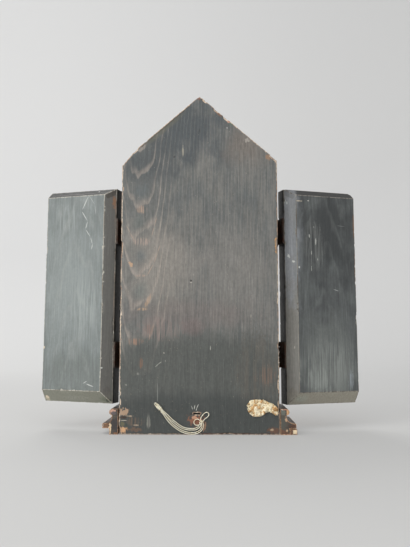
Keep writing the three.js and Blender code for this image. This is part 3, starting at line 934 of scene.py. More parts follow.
def dress(piece, paint, second=None, takes_second=None, own=CASE_FRAME):
    """Gives the paint, and a second finish to the faces that the test picks in the own frame."""
    mesh = piece.data
    mesh.materials.clear()
    mesh.materials.append(paint)
    if second:
        mesh.materials.append(second)
        back = own.inverted()
        turn = back.to_3x3()
        for face in mesh.polygons:
            if takes_second(back @ face.center / MM, turn @ face.normal):
                face.material_index = 1


print("the case's own frame:", list(CASE_FRAME.translation))

# %% [markdown]
# ## The back board
#
# The back was brushed with a thin black-grey colour that has faded to slate. The rings show
# through as nested arcs on one side, with bare pinkish wood at the bottom of each arc. The coat
# is bluish under the point, warm and thin on one slope of the gable, lighter across the middle,
# partly from scuffs and partly as a painted sheen of the light, and darkest near the foot, where
# the wood around the string's hole is rubbed bare. The board's sides are painted near black, as
# painted shade for the slots beside the wings.

# %% Paint of the back board
BACK_COAT = Coat(
    dark=screen_tone(89, 93, 93), light=screen_tone(107, 107, 104),
    bare=screen_tone(224, 206, 184), bare_dark=screen_tone(150, 122, 102),
    ring_tone=screen_tone(176, 163, 152), ring_strength=0.36, contrast=0.11,
    # Near black: painted shade for the slots beside the wings
    side=screen_tone(38, 34, 31),
)
BACK_PITH = Pith(x=58.0, depth=-10.5, lean=-0.094, z=152.0, pitch=3.1)
PALE_WOOD = (172, 150, 134)
BOARD_AREAS = [
    mark(8, 302, 50, 50, (70, 76, 79), 1.0),
    mark(50, 268, 34, 34, (72, 77, 79), 0.85),
    mark(50, 232, 30, 26, (92, 94, 93), 0.6),
    mark(-48, 284, 26, 28, (108, 102, 96), 0.85),
    # Lighter across the middle: partly scuffs, partly a painted sheen of the light
    mark(40, 160, 46, 62, (138, 133, 126), 0.75),
    mark(-35, 150, 52, 62, (122, 120, 116), 0.7),
    mark(10, 116, 90, 18, (112, 104, 101), 0.5),
    mark(0, -10, 170, 108, (80, 83, 80), 0.9, "wash"),
    mark(10, -20, 150, 60, (62, 66, 65), 0.8, "wash"),
    mark(-56, 62, 26, 42, (92, 86, 78), 0.6, "streaks"),
    mark(58, 236, 9, 14, (88, 96, 98), 0.6),
    mark(58, 205, 8, 12, (92, 99, 97), 0.6),
    mark(58, 172, 8, 10, (92, 100, 102), 0.6),
    mark(58, 138, 8, 11, (96, 104, 102), 0.5),
    mark(9, 103, 14, 9, (112, 100, 98), 0.6),
]
BOARD_MARKS = [
    mark(38.2, 301.4, 46, 1.5, (70, 62, 50), 0.7, "patch", 40.8),
    mark(36.6, 299.6, 30, 2.6, (96, 94, 80), 0.5, "area", 40.8),
    mark(1.5, 333.6, 2.6, 2.2, (120, 80, 62), 0.8, "patch"),
    mark(16.5, 278.8, 1.2, 6.8, (150, 144, 130), 0.8, "streaks"),
    mark(25.0, 272.7, 1.1, 1.3, (58, 60, 60), 0.9, "patch"),
    mark(-44.1, 273.4, 0.5, 9.0, (88, 84, 80), 0.7, "line"),
    mark(-41.6, 273.4, 0.5, 9.0, (148, 142, 134), 0.6, "line"),
    mark(-0.1, 299.9, 0.6, 2.7, (56, 58, 58), 0.9, "line"),
    mark(-5.6, 304.5, 0.8, 0.8, (70, 70, 68), 0.8, "patch"),
    mark(-19.7, 316.9, 4.6, 1.8, (116, 84, 64), 0.8, "patch", -40.8),
    mark(-27.7, 310.6, 4.8, 1.5, (196, 148, 126), 0.8, "patch", -40.8),
    mark(-31.7, 306.4, 2.2, 1.6, (86, 100, 84), 0.7, "patch"),
    mark(-27.7, 302.3, 0.8, 0.8, (188, 188, 184), 0.8, "patch"),
    mark(-47.7, 289.8, 2.8, 2.6, (164, 158, 150), 0.7, "patch"),
    mark(-68.5, 272.3, 3.6, 2.6, (150, 116, 88), 0.7, "patch", -40.8),
    mark(57.0, 219.5, 6.2, 4.6, (168, 144, 126), 0.8, "streaks"),
    mark(56.7, 187.0, 8.8, 4.6, (188, 164, 150), 0.9, "streaks"),
    *scratch([(72.6, 203.7), (68.5, 196.0), (64.8, 189.0)], 0.55, PALE_WOOD, 0.6),
    *scratch([(42.0, 213.0), (44.8, 202.0), (47.5, 191.0)], 0.55, PALE_WOOD, 0.6),
    mark(67.8, 164.6, 1.8, 3.6, (190, 156, 126), 0.8, "patch", 20),
    mark(57.3, 153.4, 6.0, 1.3, (170, 148, 132), 0.8, "streaks"),
    *scratch([(51.4, 153.5), (44.6, 166.0), (41.0, 177.0), (38.6, 184.0)], 0.55, PALE_WOOD, 0.65),
    mark(50.2, 128.5, 2.2, 9.5, (182, 152, 124), 0.9, "streaks", -25),
    mark(56.0, 120.4, 5.6, 1.8, (178, 150, 124), 0.9, "streaks"),
    mark(46.5, 99.0, 1.0, 9.0, (172, 146, 122), 0.7, "streaks", -20),
    mark(48.5, 100.5, 4.2, 5.2, (110, 88, 76), 0.7, "streaks"),
    mark(61.6, 88.8, 9.0, 3.6, (156, 124, 104), 0.8, "streaks"),
    mark(38.0, 102.0, 24, 13, (140, 122, 116), 0.6, "streaks"),
    mark(8.2, 148.2, 1.1, 1.0, (56, 54, 52), 0.9, "patch"),
    mark(8.2, 146.6, 1.3, 0.6, (170, 166, 158), 0.8, "patch"),
    mark(-50.4, 113.7, 0.45, 2.2, (168, 162, 152), 0.8, "line"),
    mark(-10.9, 82.7, 0.45, 2.6, (176, 174, 166), 0.9, "line"),
    mark(-75.6, 183.5, 1.5, 7.5, (214, 166, 112), 0.9, "patch"),
    *scratch([(42.5, 64.5), (39.5, 67.3), (36.5, 69.5)], 0.5, (165, 165, 155), 0.7),
    mark(34.2, 77.9, 0.8, 0.8, (165, 160, 150), 0.8, "patch"),
    mark(32.7, 70.2, 0.9, 0.8, (160, 158, 150), 0.8, "patch"),
    mark(40.2, 40.5, 0.4, 13, (142, 144, 138), 0.7, "line"),
    mark(56.5, 68.2, 2.4, 6.0, (128, 98, 80), 0.8, "streaks"),
    mark(70.8, 47.2, 1.4, 1.2, (140, 140, 132), 0.7, "patch"),
    mark(59.3, 57.7, 1.6, 1.3, (136, 136, 130), 0.7, "patch"),
    mark(48.7, 12.1, 2.2, 7.5, (156, 154, 144), 0.7, "streaks"),
    mark(62.0, 12.0, 9.5, 5.2, (126, 102, 84), 0.55, "streaks"),
    mark(62.0, 4.6, 8.5, 2.2, (112, 88, 72), 0.7, "patch"),
    mark(66.5, 17.6, 4.5, 0.8, (180, 160, 138), 0.7, "patch"),
    mark(60.5, 9.0, 3.5, 0.7, (184, 164, 142), 0.6, "patch"),
    mark(-63.5, 56.9, 11, 11, (118, 98, 86), 0.8, "streaks"),
    mark(-25.0, 1.0, 56, 1.1, (70, 46, 38), 0.9, "area"),
    mark(3.4, 13.6, 7.6, 5.6, (140, 92, 70), 0.9, "patch"),
    mark(4.6, 16.0, 3.2, 2.0, (196, 152, 124), 0.8, "patch"),
    mark(-4.6, 8.0, 2.6, 4.6, (186, 146, 120), 0.7, "patch"),
    mark(3.2, 19.6, 4.6, 1.3, (48, 34, 28), 0.9, "patch"),
    *scratch([(0.6, 29.0), (2.4, 25.0), (3.0, 22.6)], 0.4, (205, 205, 198), 0.9),
    *scratch([(4.0, 28.4), (4.8, 24.2)], 0.4, (200, 200, 192), 0.9),
    *scratch([(7.4, 27.4), (6.2, 23.6)], 0.35, (190, 190, 184), 0.8),
    mark(72.0, 21.5, 4.6, 3.4, (182, 152, 126), 0.85, "patch"),
    mark(72.3, 16.3, 4.4, 1.3, (62, 46, 38), 0.9, "patch"),
    mark(72.3, 13.4, 4.2, 0.5, (192, 182, 166), 0.8, "line"),
    mark(73.7, 9.9, 2.8, 2.2, (108, 104, 76), 0.7, "patch"),
    mark(73.0, 4.6, 3.4, 2.8, (214, 168, 126), 0.9, "patch"),
    mark(69.8, 9.2, 1.1, 2.0, (58, 70, 60), 0.8, "patch"),
    mark(-72.0, 4.0, 6.5, 3.6, (104, 74, 58), 0.85, "patch"),
    mark(-70.0, 5.0, 2.0, 1.2, (200, 176, 146), 0.6, "patch"),
]
FACE_DEPTH = BACK / MM

back_paint = painted_wood(
    "back_paint", CASE_FRAME, 1, BACK_COAT, BACK_PITH, BOARD_AREAS, BOARD_MARKS, FACE_DEPTH, 1.1
)
print("nodes in the back's paint:", len(back_paint.node_tree.nodes))

# %% [markdown]
# ## The gold ground
#
# The hidden front is kept plain: the sunk fields carry old leaf gilding with nothing on it.
# Gold leaf is laid in small overlapping squares over red clay, and the clay shows through
# where hands and cloths have rubbed.

# %% Mix the gilding
LEAF_SQUARE = 26.0
GOLD = screen_tone(202, 160, 88)
GOLD_DARK = screen_tone(140, 104, 56)
RED_CLAY = screen_tone(112, 50, 34)
GOLD_METAL = 0.7
CLOUD_SIZE, GOLD_FINE_SIZE = (9, 9, 9), (1.4, 1.4, 1.4)
LEAF_BUMP = 0.12 * MM


def gilding(name, rubbed):
    finish = Finish(name)
    place = own_place(finish, CASE_FRAME)
    cloud = finish.noise(place, CLOUD_SIZE, 5.0, 0.6)
    fine = finish.noise(place, GOLD_FINE_SIZE, 4.0, 0.65)
    square = {"Vector": finish.place(place, size=[LEAF_SQUARE] * 3), "Scale": 1.0}
    square["Randomness"] = 0.25
    seams = finish.node("ShaderNodeTexVoronoi", square, feature="DISTANCE_TO_EDGE")
    colour = finish.blend(finish.fade(cloud, 0.3, 0.7), GOLD_DARK, GOLD)
    colour = finish.blend(finish.fade(seams, 0.02, 0.0, high=0.5), colour, GOLD_DARK)
    wear = finish.sum_of((cloud, 0.5), (fine, 0.5))
    clay = finish.fade(wear, 0.60 - rubbed, 0.66 - rubbed)
    colour = finish.blend(clay, colour, RED_CLAY)
    roughness = finish.fade(wear, 0.35, 0.7, 0.38, 0.7)
    return finish.finish(colour, roughness, fine, LEAF_BUMP, Metallic=GOLD_METAL)


gold_ground = gilding("gold_ground", 0.0)
worn_gold = gilding("worn_gold", 0.09)
print("gilding:", gold_ground.name, worn_gold.name)

# %% Wear and dress the back board
BOARD_WEAR = Wear(
    rounding=0.8, bite=1.5, bite_size=5.0, wave=0.25, seed=11,
    knocks=(
        Knock((-77, BACK / MM, 184), (2.0, 4, 8.5), 1.6),
        Knock((77, BACK / MM, 136), (2.0, 4, 5), 1.0),
        Knock((-73, BACK / MM, 270), (6, 6, 6), 1.4),
        Knock((0, BACK / MM, 336), (5, 8, 3.5), 0.5),
        Knock((-17, BACK / MM, 321), (3, 5, 3), 1.3),
        Knock((-27, BACK / MM, 312), (5, 5, 4), 1.0),
        Knock((77, BACK / MM, 4), (3, 5, 5), 1.2),
    ),
)
SHOULDER_CUT = (Vector((66.5, 0, 277.5)) * MM, Vector((13.0, 0, 10.5)).normalized())
BOARD_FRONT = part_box("back_board")[0].y / MM
FRONT_DEPTH, FACING = 0.5, 0.8

board = worn_piece(
    "back_board", "case", BOARD_WEAR, (1.5, 3.0, 1.3), corner=SHOULDER_CUT
)


def on_board_front(place, normal):
    return place.y < BOARD_FRONT + FRONT_DEPTH and normal.y < -FACING


dress(board, back_paint, gold_ground, on_board_front)

# %% [markdown]
# ## The wings
#
# Each wing is a board whose outer face is a raised field with a bevel at the top, the bottom
# and the hinge side. It hangs folded forward, a little out of square, so its paint and its wear
# are worked out in the wing's own frame: x outwards from its hinge-side edge, y backwards and z
# up. Both wings have one paint. The wing that faces the window gets a coat painted lighter, as
# a painted sheen of the window light, and the other a coat painted darker, as painted shade,
# with scuffs low down. Their edges and the border inside are painted near black, as painted
# shade for the slots. Inside, a sunk field carries the gold ground.

# %% Find each wing's own frame
Wing = namedtuple("Wing", "name side fold lean lift")
RIGHT = Wing("right", 1, 17.6, 0.5, 0.5)
LEFT = Wing("left", -1, 18.3, 0.3, -0.5)
EDGE_FROM_AXIS = 2.2
WING_MIDDLE = 135.7
WING_WIDTH = 76.4
WING_BACK_EDGE = 14.8
SUNK_BORDER = 12.0
WING_FOOT, WING_HEAD = 26.6, 244.8


def hinge_axis(wing):
    """Where the record puts the wing's hinge, at the height of the floor."""
    for joint in frame["record"]["behaviour"]["joints"]:
        if joint["child"] == wing.name + "_wing":
            return Vector((*joint["pos_m"][:2], 0))


def wing_frame(wing):
    turned = Matrix.Translation(hinge_axis(wing))
    turned @= Matrix.Rotation(-wing.side * math.radians(wing.fold), 4, "Z")
    edge = Vector((wing.side * EDGE_FROM_AXIS, 0, WING_MIDDLE + wing.lift)) * MM
    lean = Matrix.Rotation(-wing.side * math.radians(wing.lean), 4, "Y")
    leaned = Matrix.Translation(edge) @ lean
    return turned @ leaned @ Matrix.Translation((0, 0, -WING_MIDDLE * MM))


def in_sunk_field(place, normal):
    across = SUNK_BORDER < abs(place.x) < WING_WIDTH - SUNK_BORDER
    upright = WING_FOOT + SUNK_BORDER < place.z < WING_HEAD - SUNK_BORDER
    return place.y < WING_BACK_EDGE / 2 and across and upright


for wing in (RIGHT, LEFT):
    print(wing.name, "edge at", [round(value / MM, 1) for value in wing_frame(wing).translation])

# %% Paint of the two wings
# The wing facing the window: this coat is painted lighter, a painted sheen of the window light,
# and its near-black side colour is painted shade
WING_COAT_PAINTED_LIGHT = Coat(
    dark=screen_tone(102, 109, 108), light=screen_tone(122, 129, 128),
    bare=screen_tone(206, 204, 194), bare_dark=screen_tone(140, 132, 120),
    ring_tone=screen_tone(150, 154, 150), ring_strength=0.25, contrast=0.08,
    side=screen_tone(26, 24, 22),
)
# The other wing: the same paint made darker as painted shade, with a near-black side colour as
# painted shade
WING_COAT_PAINTED_SHADE = Coat(
    dark=screen_tone(72, 75, 76), light=screen_tone(90, 94, 94),
    bare=screen_tone(160, 156, 146), bare_dark=screen_tone(92, 84, 76),
    ring_tone=screen_tone(122, 126, 124), ring_strength=0.2, contrast=0.09,
    side=screen_tone(24, 22, 21),
)
WHITE = (214, 216, 212)
# The bevels meet in mitres, so a turned facet corrects each corner
LOW_MITRE = (2.1, 35.3, 4.0, 8.05)
LOW_MITRE_TURN = 40.2
HIGH_MITRE = (3.84, 239.4, 2.6, 6.1)
HIGH_MITRE_TURN = -58.4
RIGHT_AREAS = [
    # A lighter middle and a darker foot on the field: a painted sheen of the window light
    mark(45, 140, 40, 60, (134, 141, 140), 0.7),
    mark(40, 55, 44, 26, (106, 112, 109), 0.7),
    mark(40, 31.5, 60, 7.4, (133, 133, 120), 0.9, "facet"),
    # The top bevel's dark paint is made near black as painted shade, against the light from above
    mark(40, 243, 60, 4.6, (14, 13, 12), 0.97, "facet"),
    # The hinge bevel and its mitres, turned from the window, keep a darker tone as painted shade
    mark(0, 139, 10.4, 101, (104, 102, 98), 0.88, "facet"),
    mark(*LOW_MITRE, (100, 98, 94), 0.88, "facet", LOW_MITRE_TURN),
    mark(*HIGH_MITRE, (80, 76, 71), 0.88, "facet", HIGH_MITRE_TURN),
]
RIGHT_MARKS = [
    *scratch([(28.2, 238.2), (36.0, 222.0), (28.8, 211.1), (31.0, 202.9)], 0.5, WHITE, 0.75),
    *scratch([(31.0, 202.9), (25.0, 194.3), (22.6, 186.9), (23.6, 181.8)], 0.45, WHITE, 0.65),
    *scratch([(28.2, 238.2), (21.0, 228.0), (19.5, 217.0)], 0.35, WHITE, 0.4),
    mark(10.4, 195, 0.5, 46, (196, 200, 196), 0.6, "line"),
    mark(10.4, 90, 0.4, 50, (160, 164, 160), 0.4, "line"),
    mark(1.4, 231, 2.2, 6.8, (146, 108, 80), 0.8, "patch"),
    mark(0.4, 212, 1.2, 26, (156, 130, 112), 0.8, "streaks"),
    mark(0.3, 120, 0.9, 70, (158, 136, 120), 0.7, "streaks"),
    mark(42, 240.6, 34, 0.35, (126, 124, 118), 0.6, "line"),
    mark(72.6, 29.4, 3.0, 2.6, (188, 178, 156), 0.7, "patch"),
    mark(8.0, 30.6, 6.0, 4.2, (96, 102, 84), 0.7, "area"),
    mark(38.0, 31.0, 20, 3.0, (156, 156, 146), 0.5, "streaks"),
    mark(21.9, 44.7, 5.2, 0.6, WHITE, 0.7, "line", -18),
    mark(27.0, 47.5, 3.0, 0.5, WHITE, 0.6, "line", 30),
    mark(72.6, 30.9, 2.2, 1.6, (226, 210, 186), 0.8, "patch"),
    mark(3.0, 29.6, 3.6, 2.2, (68, 74, 62), 0.8, "patch"),
    mark(9.4, 62.2, 0.8, 0.8, WHITE, 0.9, "patch"),
    mark(75.6, 81.6, 0.9, 1.8, (220, 204, 180), 0.8, "patch"),
    mark(19.1, 242.3, 0.8, 0.6, WHITE, 0.9, "patch"),
    mark(42, 38.9, 36, 0.5, (46, 46, 44), 0.9, "line"),
    mark(50, 215, 14, 18, (170, 176, 174), 0.35, "streaks"),
    mark(30, 120, 16, 40, (166, 172, 170), 0.3, "streaks"),
]
LEFT_AREAS = [
    mark(45, 200, 44, 60, (56, 59, 60), 0.85),
    mark(44, 78, 40, 44, (106, 110, 108), 0.8),
    mark(46, 56, 36, 22, (120, 124, 121), 0.7),
    mark(40, 31.5, 60, 7.4, (160, 155, 141), 0.9, "facet"),
    mark(40, 243, 60, 4.6, (48, 47, 45), 0.95, "facet"),
    # The hinge bevel and its mitres face the window, so they are painted lighter and bluish, as
    # painted light
    mark(0, 139, 10.4, 101, (134, 132, 126), 0.9, "facet"),
    mark(3, 190, 14, 72, (146, 150, 155), 0.9),
    mark(9.0, 190, 2.4, 60, (120, 124, 128), 0.7),
    mark(*LOW_MITRE, (128, 124, 116), 0.9, "facet", LOW_MITRE_TURN),
    mark(*HIGH_MITRE, (120, 122, 124), 0.9, "facet", HIGH_MITRE_TURN),
    mark(12, 32, 9, 5, (158, 162, 150), 0.7),
]
LEFT_MARKS = [
    mark(0.9, 232.0, 0.6, 2.2, WHITE, 0.9, "patch", 15),
    mark(2.6, 230.6, 0.6, 1.4, WHITE, 0.8, "patch"),
    mark(3.2, 176.0, 1.0, 2.4, WHITE, 0.95, "patch", -12),
    mark(7.0, 169.8, 1.6, 1.1, WHITE, 0.9, "patch", 35),
    mark(12.4, 164.0, 0.9, 1.5, WHITE, 0.9, "patch"),
    mark(6.8, 83.5, 0.5, 1.8, (190, 184, 172), 0.8, "line"),
    mark(14.1, 232.0, 3.4, 0.6, (196, 186, 168), 0.8, "patch"),
    mark(23.7, 232.6, 0.9, 0.6, (206, 204, 196), 0.8, "patch"),
    mark(60.5, 208.1, 5.4, 0.4, (136, 138, 136), 0.6, "line", 4),
    *scratch([(49.7, 142.3), (56.5, 140.4)], 0.45, (168, 170, 168), 0.8),
    mark(29.0, 186.0, 13, 30, (120, 122, 120), 0.5, "streaks"),
    mark(24.2, 196.0, 0.5, 2.2, (196, 198, 192), 0.8, "patch"),
    mark(31.4, 191.0, 0.5, 3.0, (206, 208, 202), 0.8, "patch"),
    mark(26.4, 178.5, 0.5, 2.2, (190, 190, 184), 0.8, "patch"),
    mark(33.2, 173.0, 0.4, 1.8, (186, 188, 182), 0.8, "patch"),
    mark(29.4, 206.0, 0.4, 1.6, (180, 180, 176), 0.7, "patch"),
    mark(26.0, 163.0, 0.4, 2.6, (176, 178, 172), 0.7, "patch"),
    mark(42.0, 64.0, 36, 30, (146, 151, 147), 0.45, "streaks"),
    mark(30.0, 52.0, 18, 13, (158, 164, 158), 0.4, "streaks"),
    mark(68.0, 49.8, 4.2, 11, (152, 160, 166), 0.7, "streaks"),
    mark(75.4, 209.9, 0.9, 16, (112, 80, 54), 0.9, "line"),
    mark(75.9, 162.7, 0.6, 21, (128, 102, 80), 0.7, "patch"),
    mark(42, 38.9, 36, 0.4, (54, 52, 48), 0.8, "line"),
]
WING_PITH = Pith(x=40.0, depth=-60.0, lean=0.05, z=120.0, pitch=2.6)
WING_WEAR = {
    "right": Wear(0.7, 0.9, 4.5, 0.2, 31, (Knock((76, 15, 227), (1.6, 5, 11), 1.0),)),
    "left": Wear(0.7, 1.0, 4.5, 0.2, 47, (Knock((-76, 15, 163), (1.4, 5, 20), 0.9),)),
}
WING_CORNER = {
    "right": None,
    "left": (Vector((1.2 - WING_WIDTH, 0, WING_HEAD - 1.2)) * MM, Vector((-1, 0, 1)).normalized()),
}

# Each wing's coat carries its painted light or painted shade
wing_paints = {
    "right": painted_wood(
        "wing_paint_right", wing_frame(RIGHT), 1, WING_COAT_PAINTED_LIGHT, WING_PITH, RIGHT_AREAS,
        RIGHT_MARKS, WING_BACK_EDGE, 0.55,
    ),
    "left": painted_wood(
        "wing_paint_left", wing_frame(LEFT), -1, WING_COAT_PAINTED_SHADE, WING_PITH, LEFT_AREAS,
        LEFT_MARKS, WING_BACK_EDGE, 0.55,
    ),
}
for wing in (RIGHT, LEFT):
    own = wing_frame(wing)
    piece = worn_piece(
        "wing_" + wing.name, wing.name + "_wing", WING_WEAR[wing.name],
        (1.6, 3.0, 1.5), own, corner=WING_CORNER[wing.name],
    )
    dress(piece, wing_paints[wing.name], gold_ground, in_sunk_field, own)

# %% [markdown]
# ## The front frame and the base's block
#
# Six members are fixed on the front of the board. Their faces are painted dark and their inner
# chamfers were gilded. The grain runs along each member: up the stiles, across the rails and up
# the slopes of the gable.

# %% Dress the frame
FRAME_COAT = Coat(
    dark=screen_tone(58, 50, 44), light=screen_tone(80, 70, 60),
    bare=screen_tone(186, 150, 112), bare_dark=screen_tone(120, 84, 58),
    ring_tone=screen_tone(96, 82, 68), ring_strength=0.25, contrast=0.10,
    side=screen_tone(62, 54, 47),
)
FRAME_PITH = Pith(x=20.0, depth=60.0, lean=0.0, z=0.0, pitch=2.4)
GABLE_TURN = math.atan2(77.5, 67.0)
MEMBER_GRAINS = {
    "frame_stile_right": (0, 0, 0),
    "frame_stile_left": (0, 0, 0),
    "frame_rake_right": (0, -GABLE_TURN, 0),
    "frame_rake_left": (0, GABLE_TURN, 0),
    "frame_rail_lower": (0, math.pi / 2, 0),
    "frame_rail_upper": (0, math.pi / 2, 0),
    "base_block": (0, math.pi / 2, 0),
}
MEMBER_WEAR = Wear(rounding=0.5, bite=0.7, bite_size=4.0, wave=0.2, seed=71)
FRAME_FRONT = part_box("frame_stile_right")[0].y / MM
CHAMFER_DEPTH = 4.2


def on_chamfer(place, normal):
    slanted = -0.85 < normal.y < -0.4
    return slanted and place.y < FRAME_FRONT + CHAMFER_DEPTH and place.z > WING_FOOT


frame_paints = {}
for node, grain in MEMBER_GRAINS.items():
    if grain not in frame_paints:
        frame_paints[grain] = painted_wood(
            f"frame_paint_{len(frame_paints)}", CASE_FRAME, 1, FRAME_COAT, FRAME_PITH, [], [],
            FACE_DEPTH, 0.5, grain,
        )
    member = worn_piece(node, "case", MEMBER_WEAR, (2.0, 2.5, 2.0))
    dress(member, frame_paints[grain], worn_gold, on_chamfer)

# %% [markdown]
# ## The base's mouldings
#
# A bead, a neck, a hollow and a lip run round the front and both sides. Their square ends show
# from behind. They are painted dark with a rubbed rim, and the photograph shows each end with
# its own bare and stained places. The strip under the right-hand end is lost.

# %% Dress the mouldings and strips
MOULDING_COAT = Coat(
    dark=screen_tone(62, 56, 52), light=screen_tone(84, 78, 70),
    bare=screen_tone(206, 168, 134), bare_dark=screen_tone(134, 94, 68),
    ring_tone=screen_tone(104, 88, 72), ring_strength=0.25, contrast=0.12,
    side=screen_tone(66, 58, 52),
)
RIGHT_END_MARKS = [
    mark(83.4, 22.6, 3.8, 2.0, (202, 160, 140), 0.9, "patch"),
    mark(82.4, 20.4, 2.6, 2.0, (96, 88, 90), 0.9, "patch"),
    mark(81.0, 9.5, 3.4, 8.0, (58, 54, 54), 0.9, "patch"),
    mark(89.5, 9.0, 3.8, 3.4, (126, 92, 66), 0.9, "patch"),
    mark(92.6, 9.0, 1.0, 1.8, (156, 146, 136), 0.8, "patch"),
    mark(85.9, 5.0, 1.3, 6.5, (226, 200, 164), 0.95, "patch"),
    mark(80.5, 1.2, 2.0, 1.2, (140, 98, 68), 0.8, "patch"),
]
LEFT_END_MARKS = [
    mark(-80.8, 21.6, 3.2, 3.6, (106, 110, 102), 0.9, "patch"),
    mark(-84.9, 21.4, 1.6, 3.0, (210, 164, 118), 0.9, "patch"),
    mark(-82.6, 24.0, 2.4, 0.9, (190, 124, 108), 0.85, "patch"),
    mark(-79.6, 24.0, 1.2, 0.9, (226, 222, 212), 0.8, "patch"),
    mark(-83.4, 14.6, 1.4, 2.6, (198, 164, 132), 0.9, "patch"),
    mark(-80.4, 10.5, 2.6, 7.0, (80, 82, 76), 0.85, "patch"),
    mark(-90.4, 8.4, 4.6, 1.9, (84, 56, 42), 0.9, "patch"),
    mark(-80.5, 2.8, 6.0, 2.8, (104, 72, 54), 0.85, "patch"),
    mark(-84.0, 4.0, 1.6, 1.2, (206, 178, 146), 0.7, "patch"),
]
STRIP_END_MARKS = [
    mark(-92.2, 2.6, 2.6, 4.0, (236, 216, 182), 0.95, "patch"),
    mark(-88.2, 2.6, 1.6, 3.4, (112, 76, 56), 0.8, "patch"),
]
ALONG_SIDE = (math.pi / 2, 0, 0)
ALONG_FRONT = (0, math.pi / 2, 0)
MOULDING_WEAR = Wear(rounding=0.4, bite=0.9, bite_size=3.0, wave=0.2, seed=91)
MOULDINGS = {
    "base_moulding_right": (RIGHT_END_MARKS, ALONG_SIDE, 1, (1.0, 1.5, 1.0)),
    "base_moulding_left": (LEFT_END_MARKS, ALONG_SIDE, 1, (1.0, 1.5, 1.0)),
    "base_moulding_front": ([], ALONG_FRONT, 0, (1.5, 1.2, 1.2)),
    "plinth_strip_left": (STRIP_END_MARKS, ALONG_SIDE, 1, (1.0, 1.5, 1.0)),
    "plinth_strip_front": ([], ALONG_FRONT, 0, (1.5, 1.5, 1.0)),
}

for node, (end_marks, grain, along, steps) in MOULDINGS.items():
    paint = painted_wood(
        node + "_paint", CASE_FRAME, 1, MOULDING_COAT, FRAME_PITH, [], end_marks, FACE_DEPTH,
        0.7, grain,
    )
    moulding = worn_piece(node, "case", MOULDING_WEAR, steps, along=along)
    dress(moulding, paint)

# %% [markdown]
# ## The iron hinges
#
# The butt hinges are dark iron, rubbed on the knuckles and rusty in between. Their leaves keep
# the shape of the solids, which is right as it is, so they only get a finish.

# %% Mix the iron and dress the hinges
IRON_DARK = screen_tone(34, 29, 26)
IRON_LIGHT = screen_tone(84, 70, 60)
RUST = screen_tone(78, 50, 36)
IRON_METAL = 0.4
RUST_SIZE, IRON_FINE_SIZE = (5, 5, 5), (0.7, 0.7, 0.7)
IRON_BUMP = 0.08 * MM


def old_iron(name):
    finish = Finish(name)
    place = own_place(finish, CASE_FRAME)
    cloud = finish.noise(place, RUST_SIZE, 4.0, 0.6)
    fine = finish.noise(place, IRON_FINE_SIZE, 4.0, 0.65)
    colour = finish.blend(finish.fade(fine, 0.35, 0.65), IRON_DARK, IRON_LIGHT)
    colour = finish.blend(finish.fade(cloud, 0.42, 0.66, high=0.85), colour, RUST)
    roughness = finish.fade(cloud, 0.3, 0.7, 0.42, 0.8)
    return finish.finish(colour, roughness, fine, IRON_BUMP, Metallic=IRON_METAL)


hinge_iron = old_iron("hinge_iron")
hinge_nodes = [name for name in frame["nodes"] if name.startswith("hinge_")]
for name in hinge_nodes:
    mesh = frame["nodes"][name].data
    mesh.materials.clear()
    mesh.materials.append(hinge_iron)
print("hinge pieces:", len(hinge_nodes))

# %% [markdown]
# ## Screws of the hinges
#
# Each leaf is held by two slotted screws. They repeat, so Geometry Nodes make them: one head is
# a low cone with a slot cut across it, and it is set on every point of a small mesh that holds
# the screws' places and the way that each one faces. Every slot points another way, because no
# one lines them up. The heads are let into the leaves, so that the leaves can lie close
# together. One mesh is made for each body.

# %% Build the screw tree
SCREW_INPUTS = {"Head Radius": 1.5 * MM, "Head Height": 0.35 * MM, "Slot Width": 0.4 * MM}
SCREW_SEED = 5
SCREW_SIDES = 24
TOP_SHARE = 0.75
SLOT_REACH = 3.0


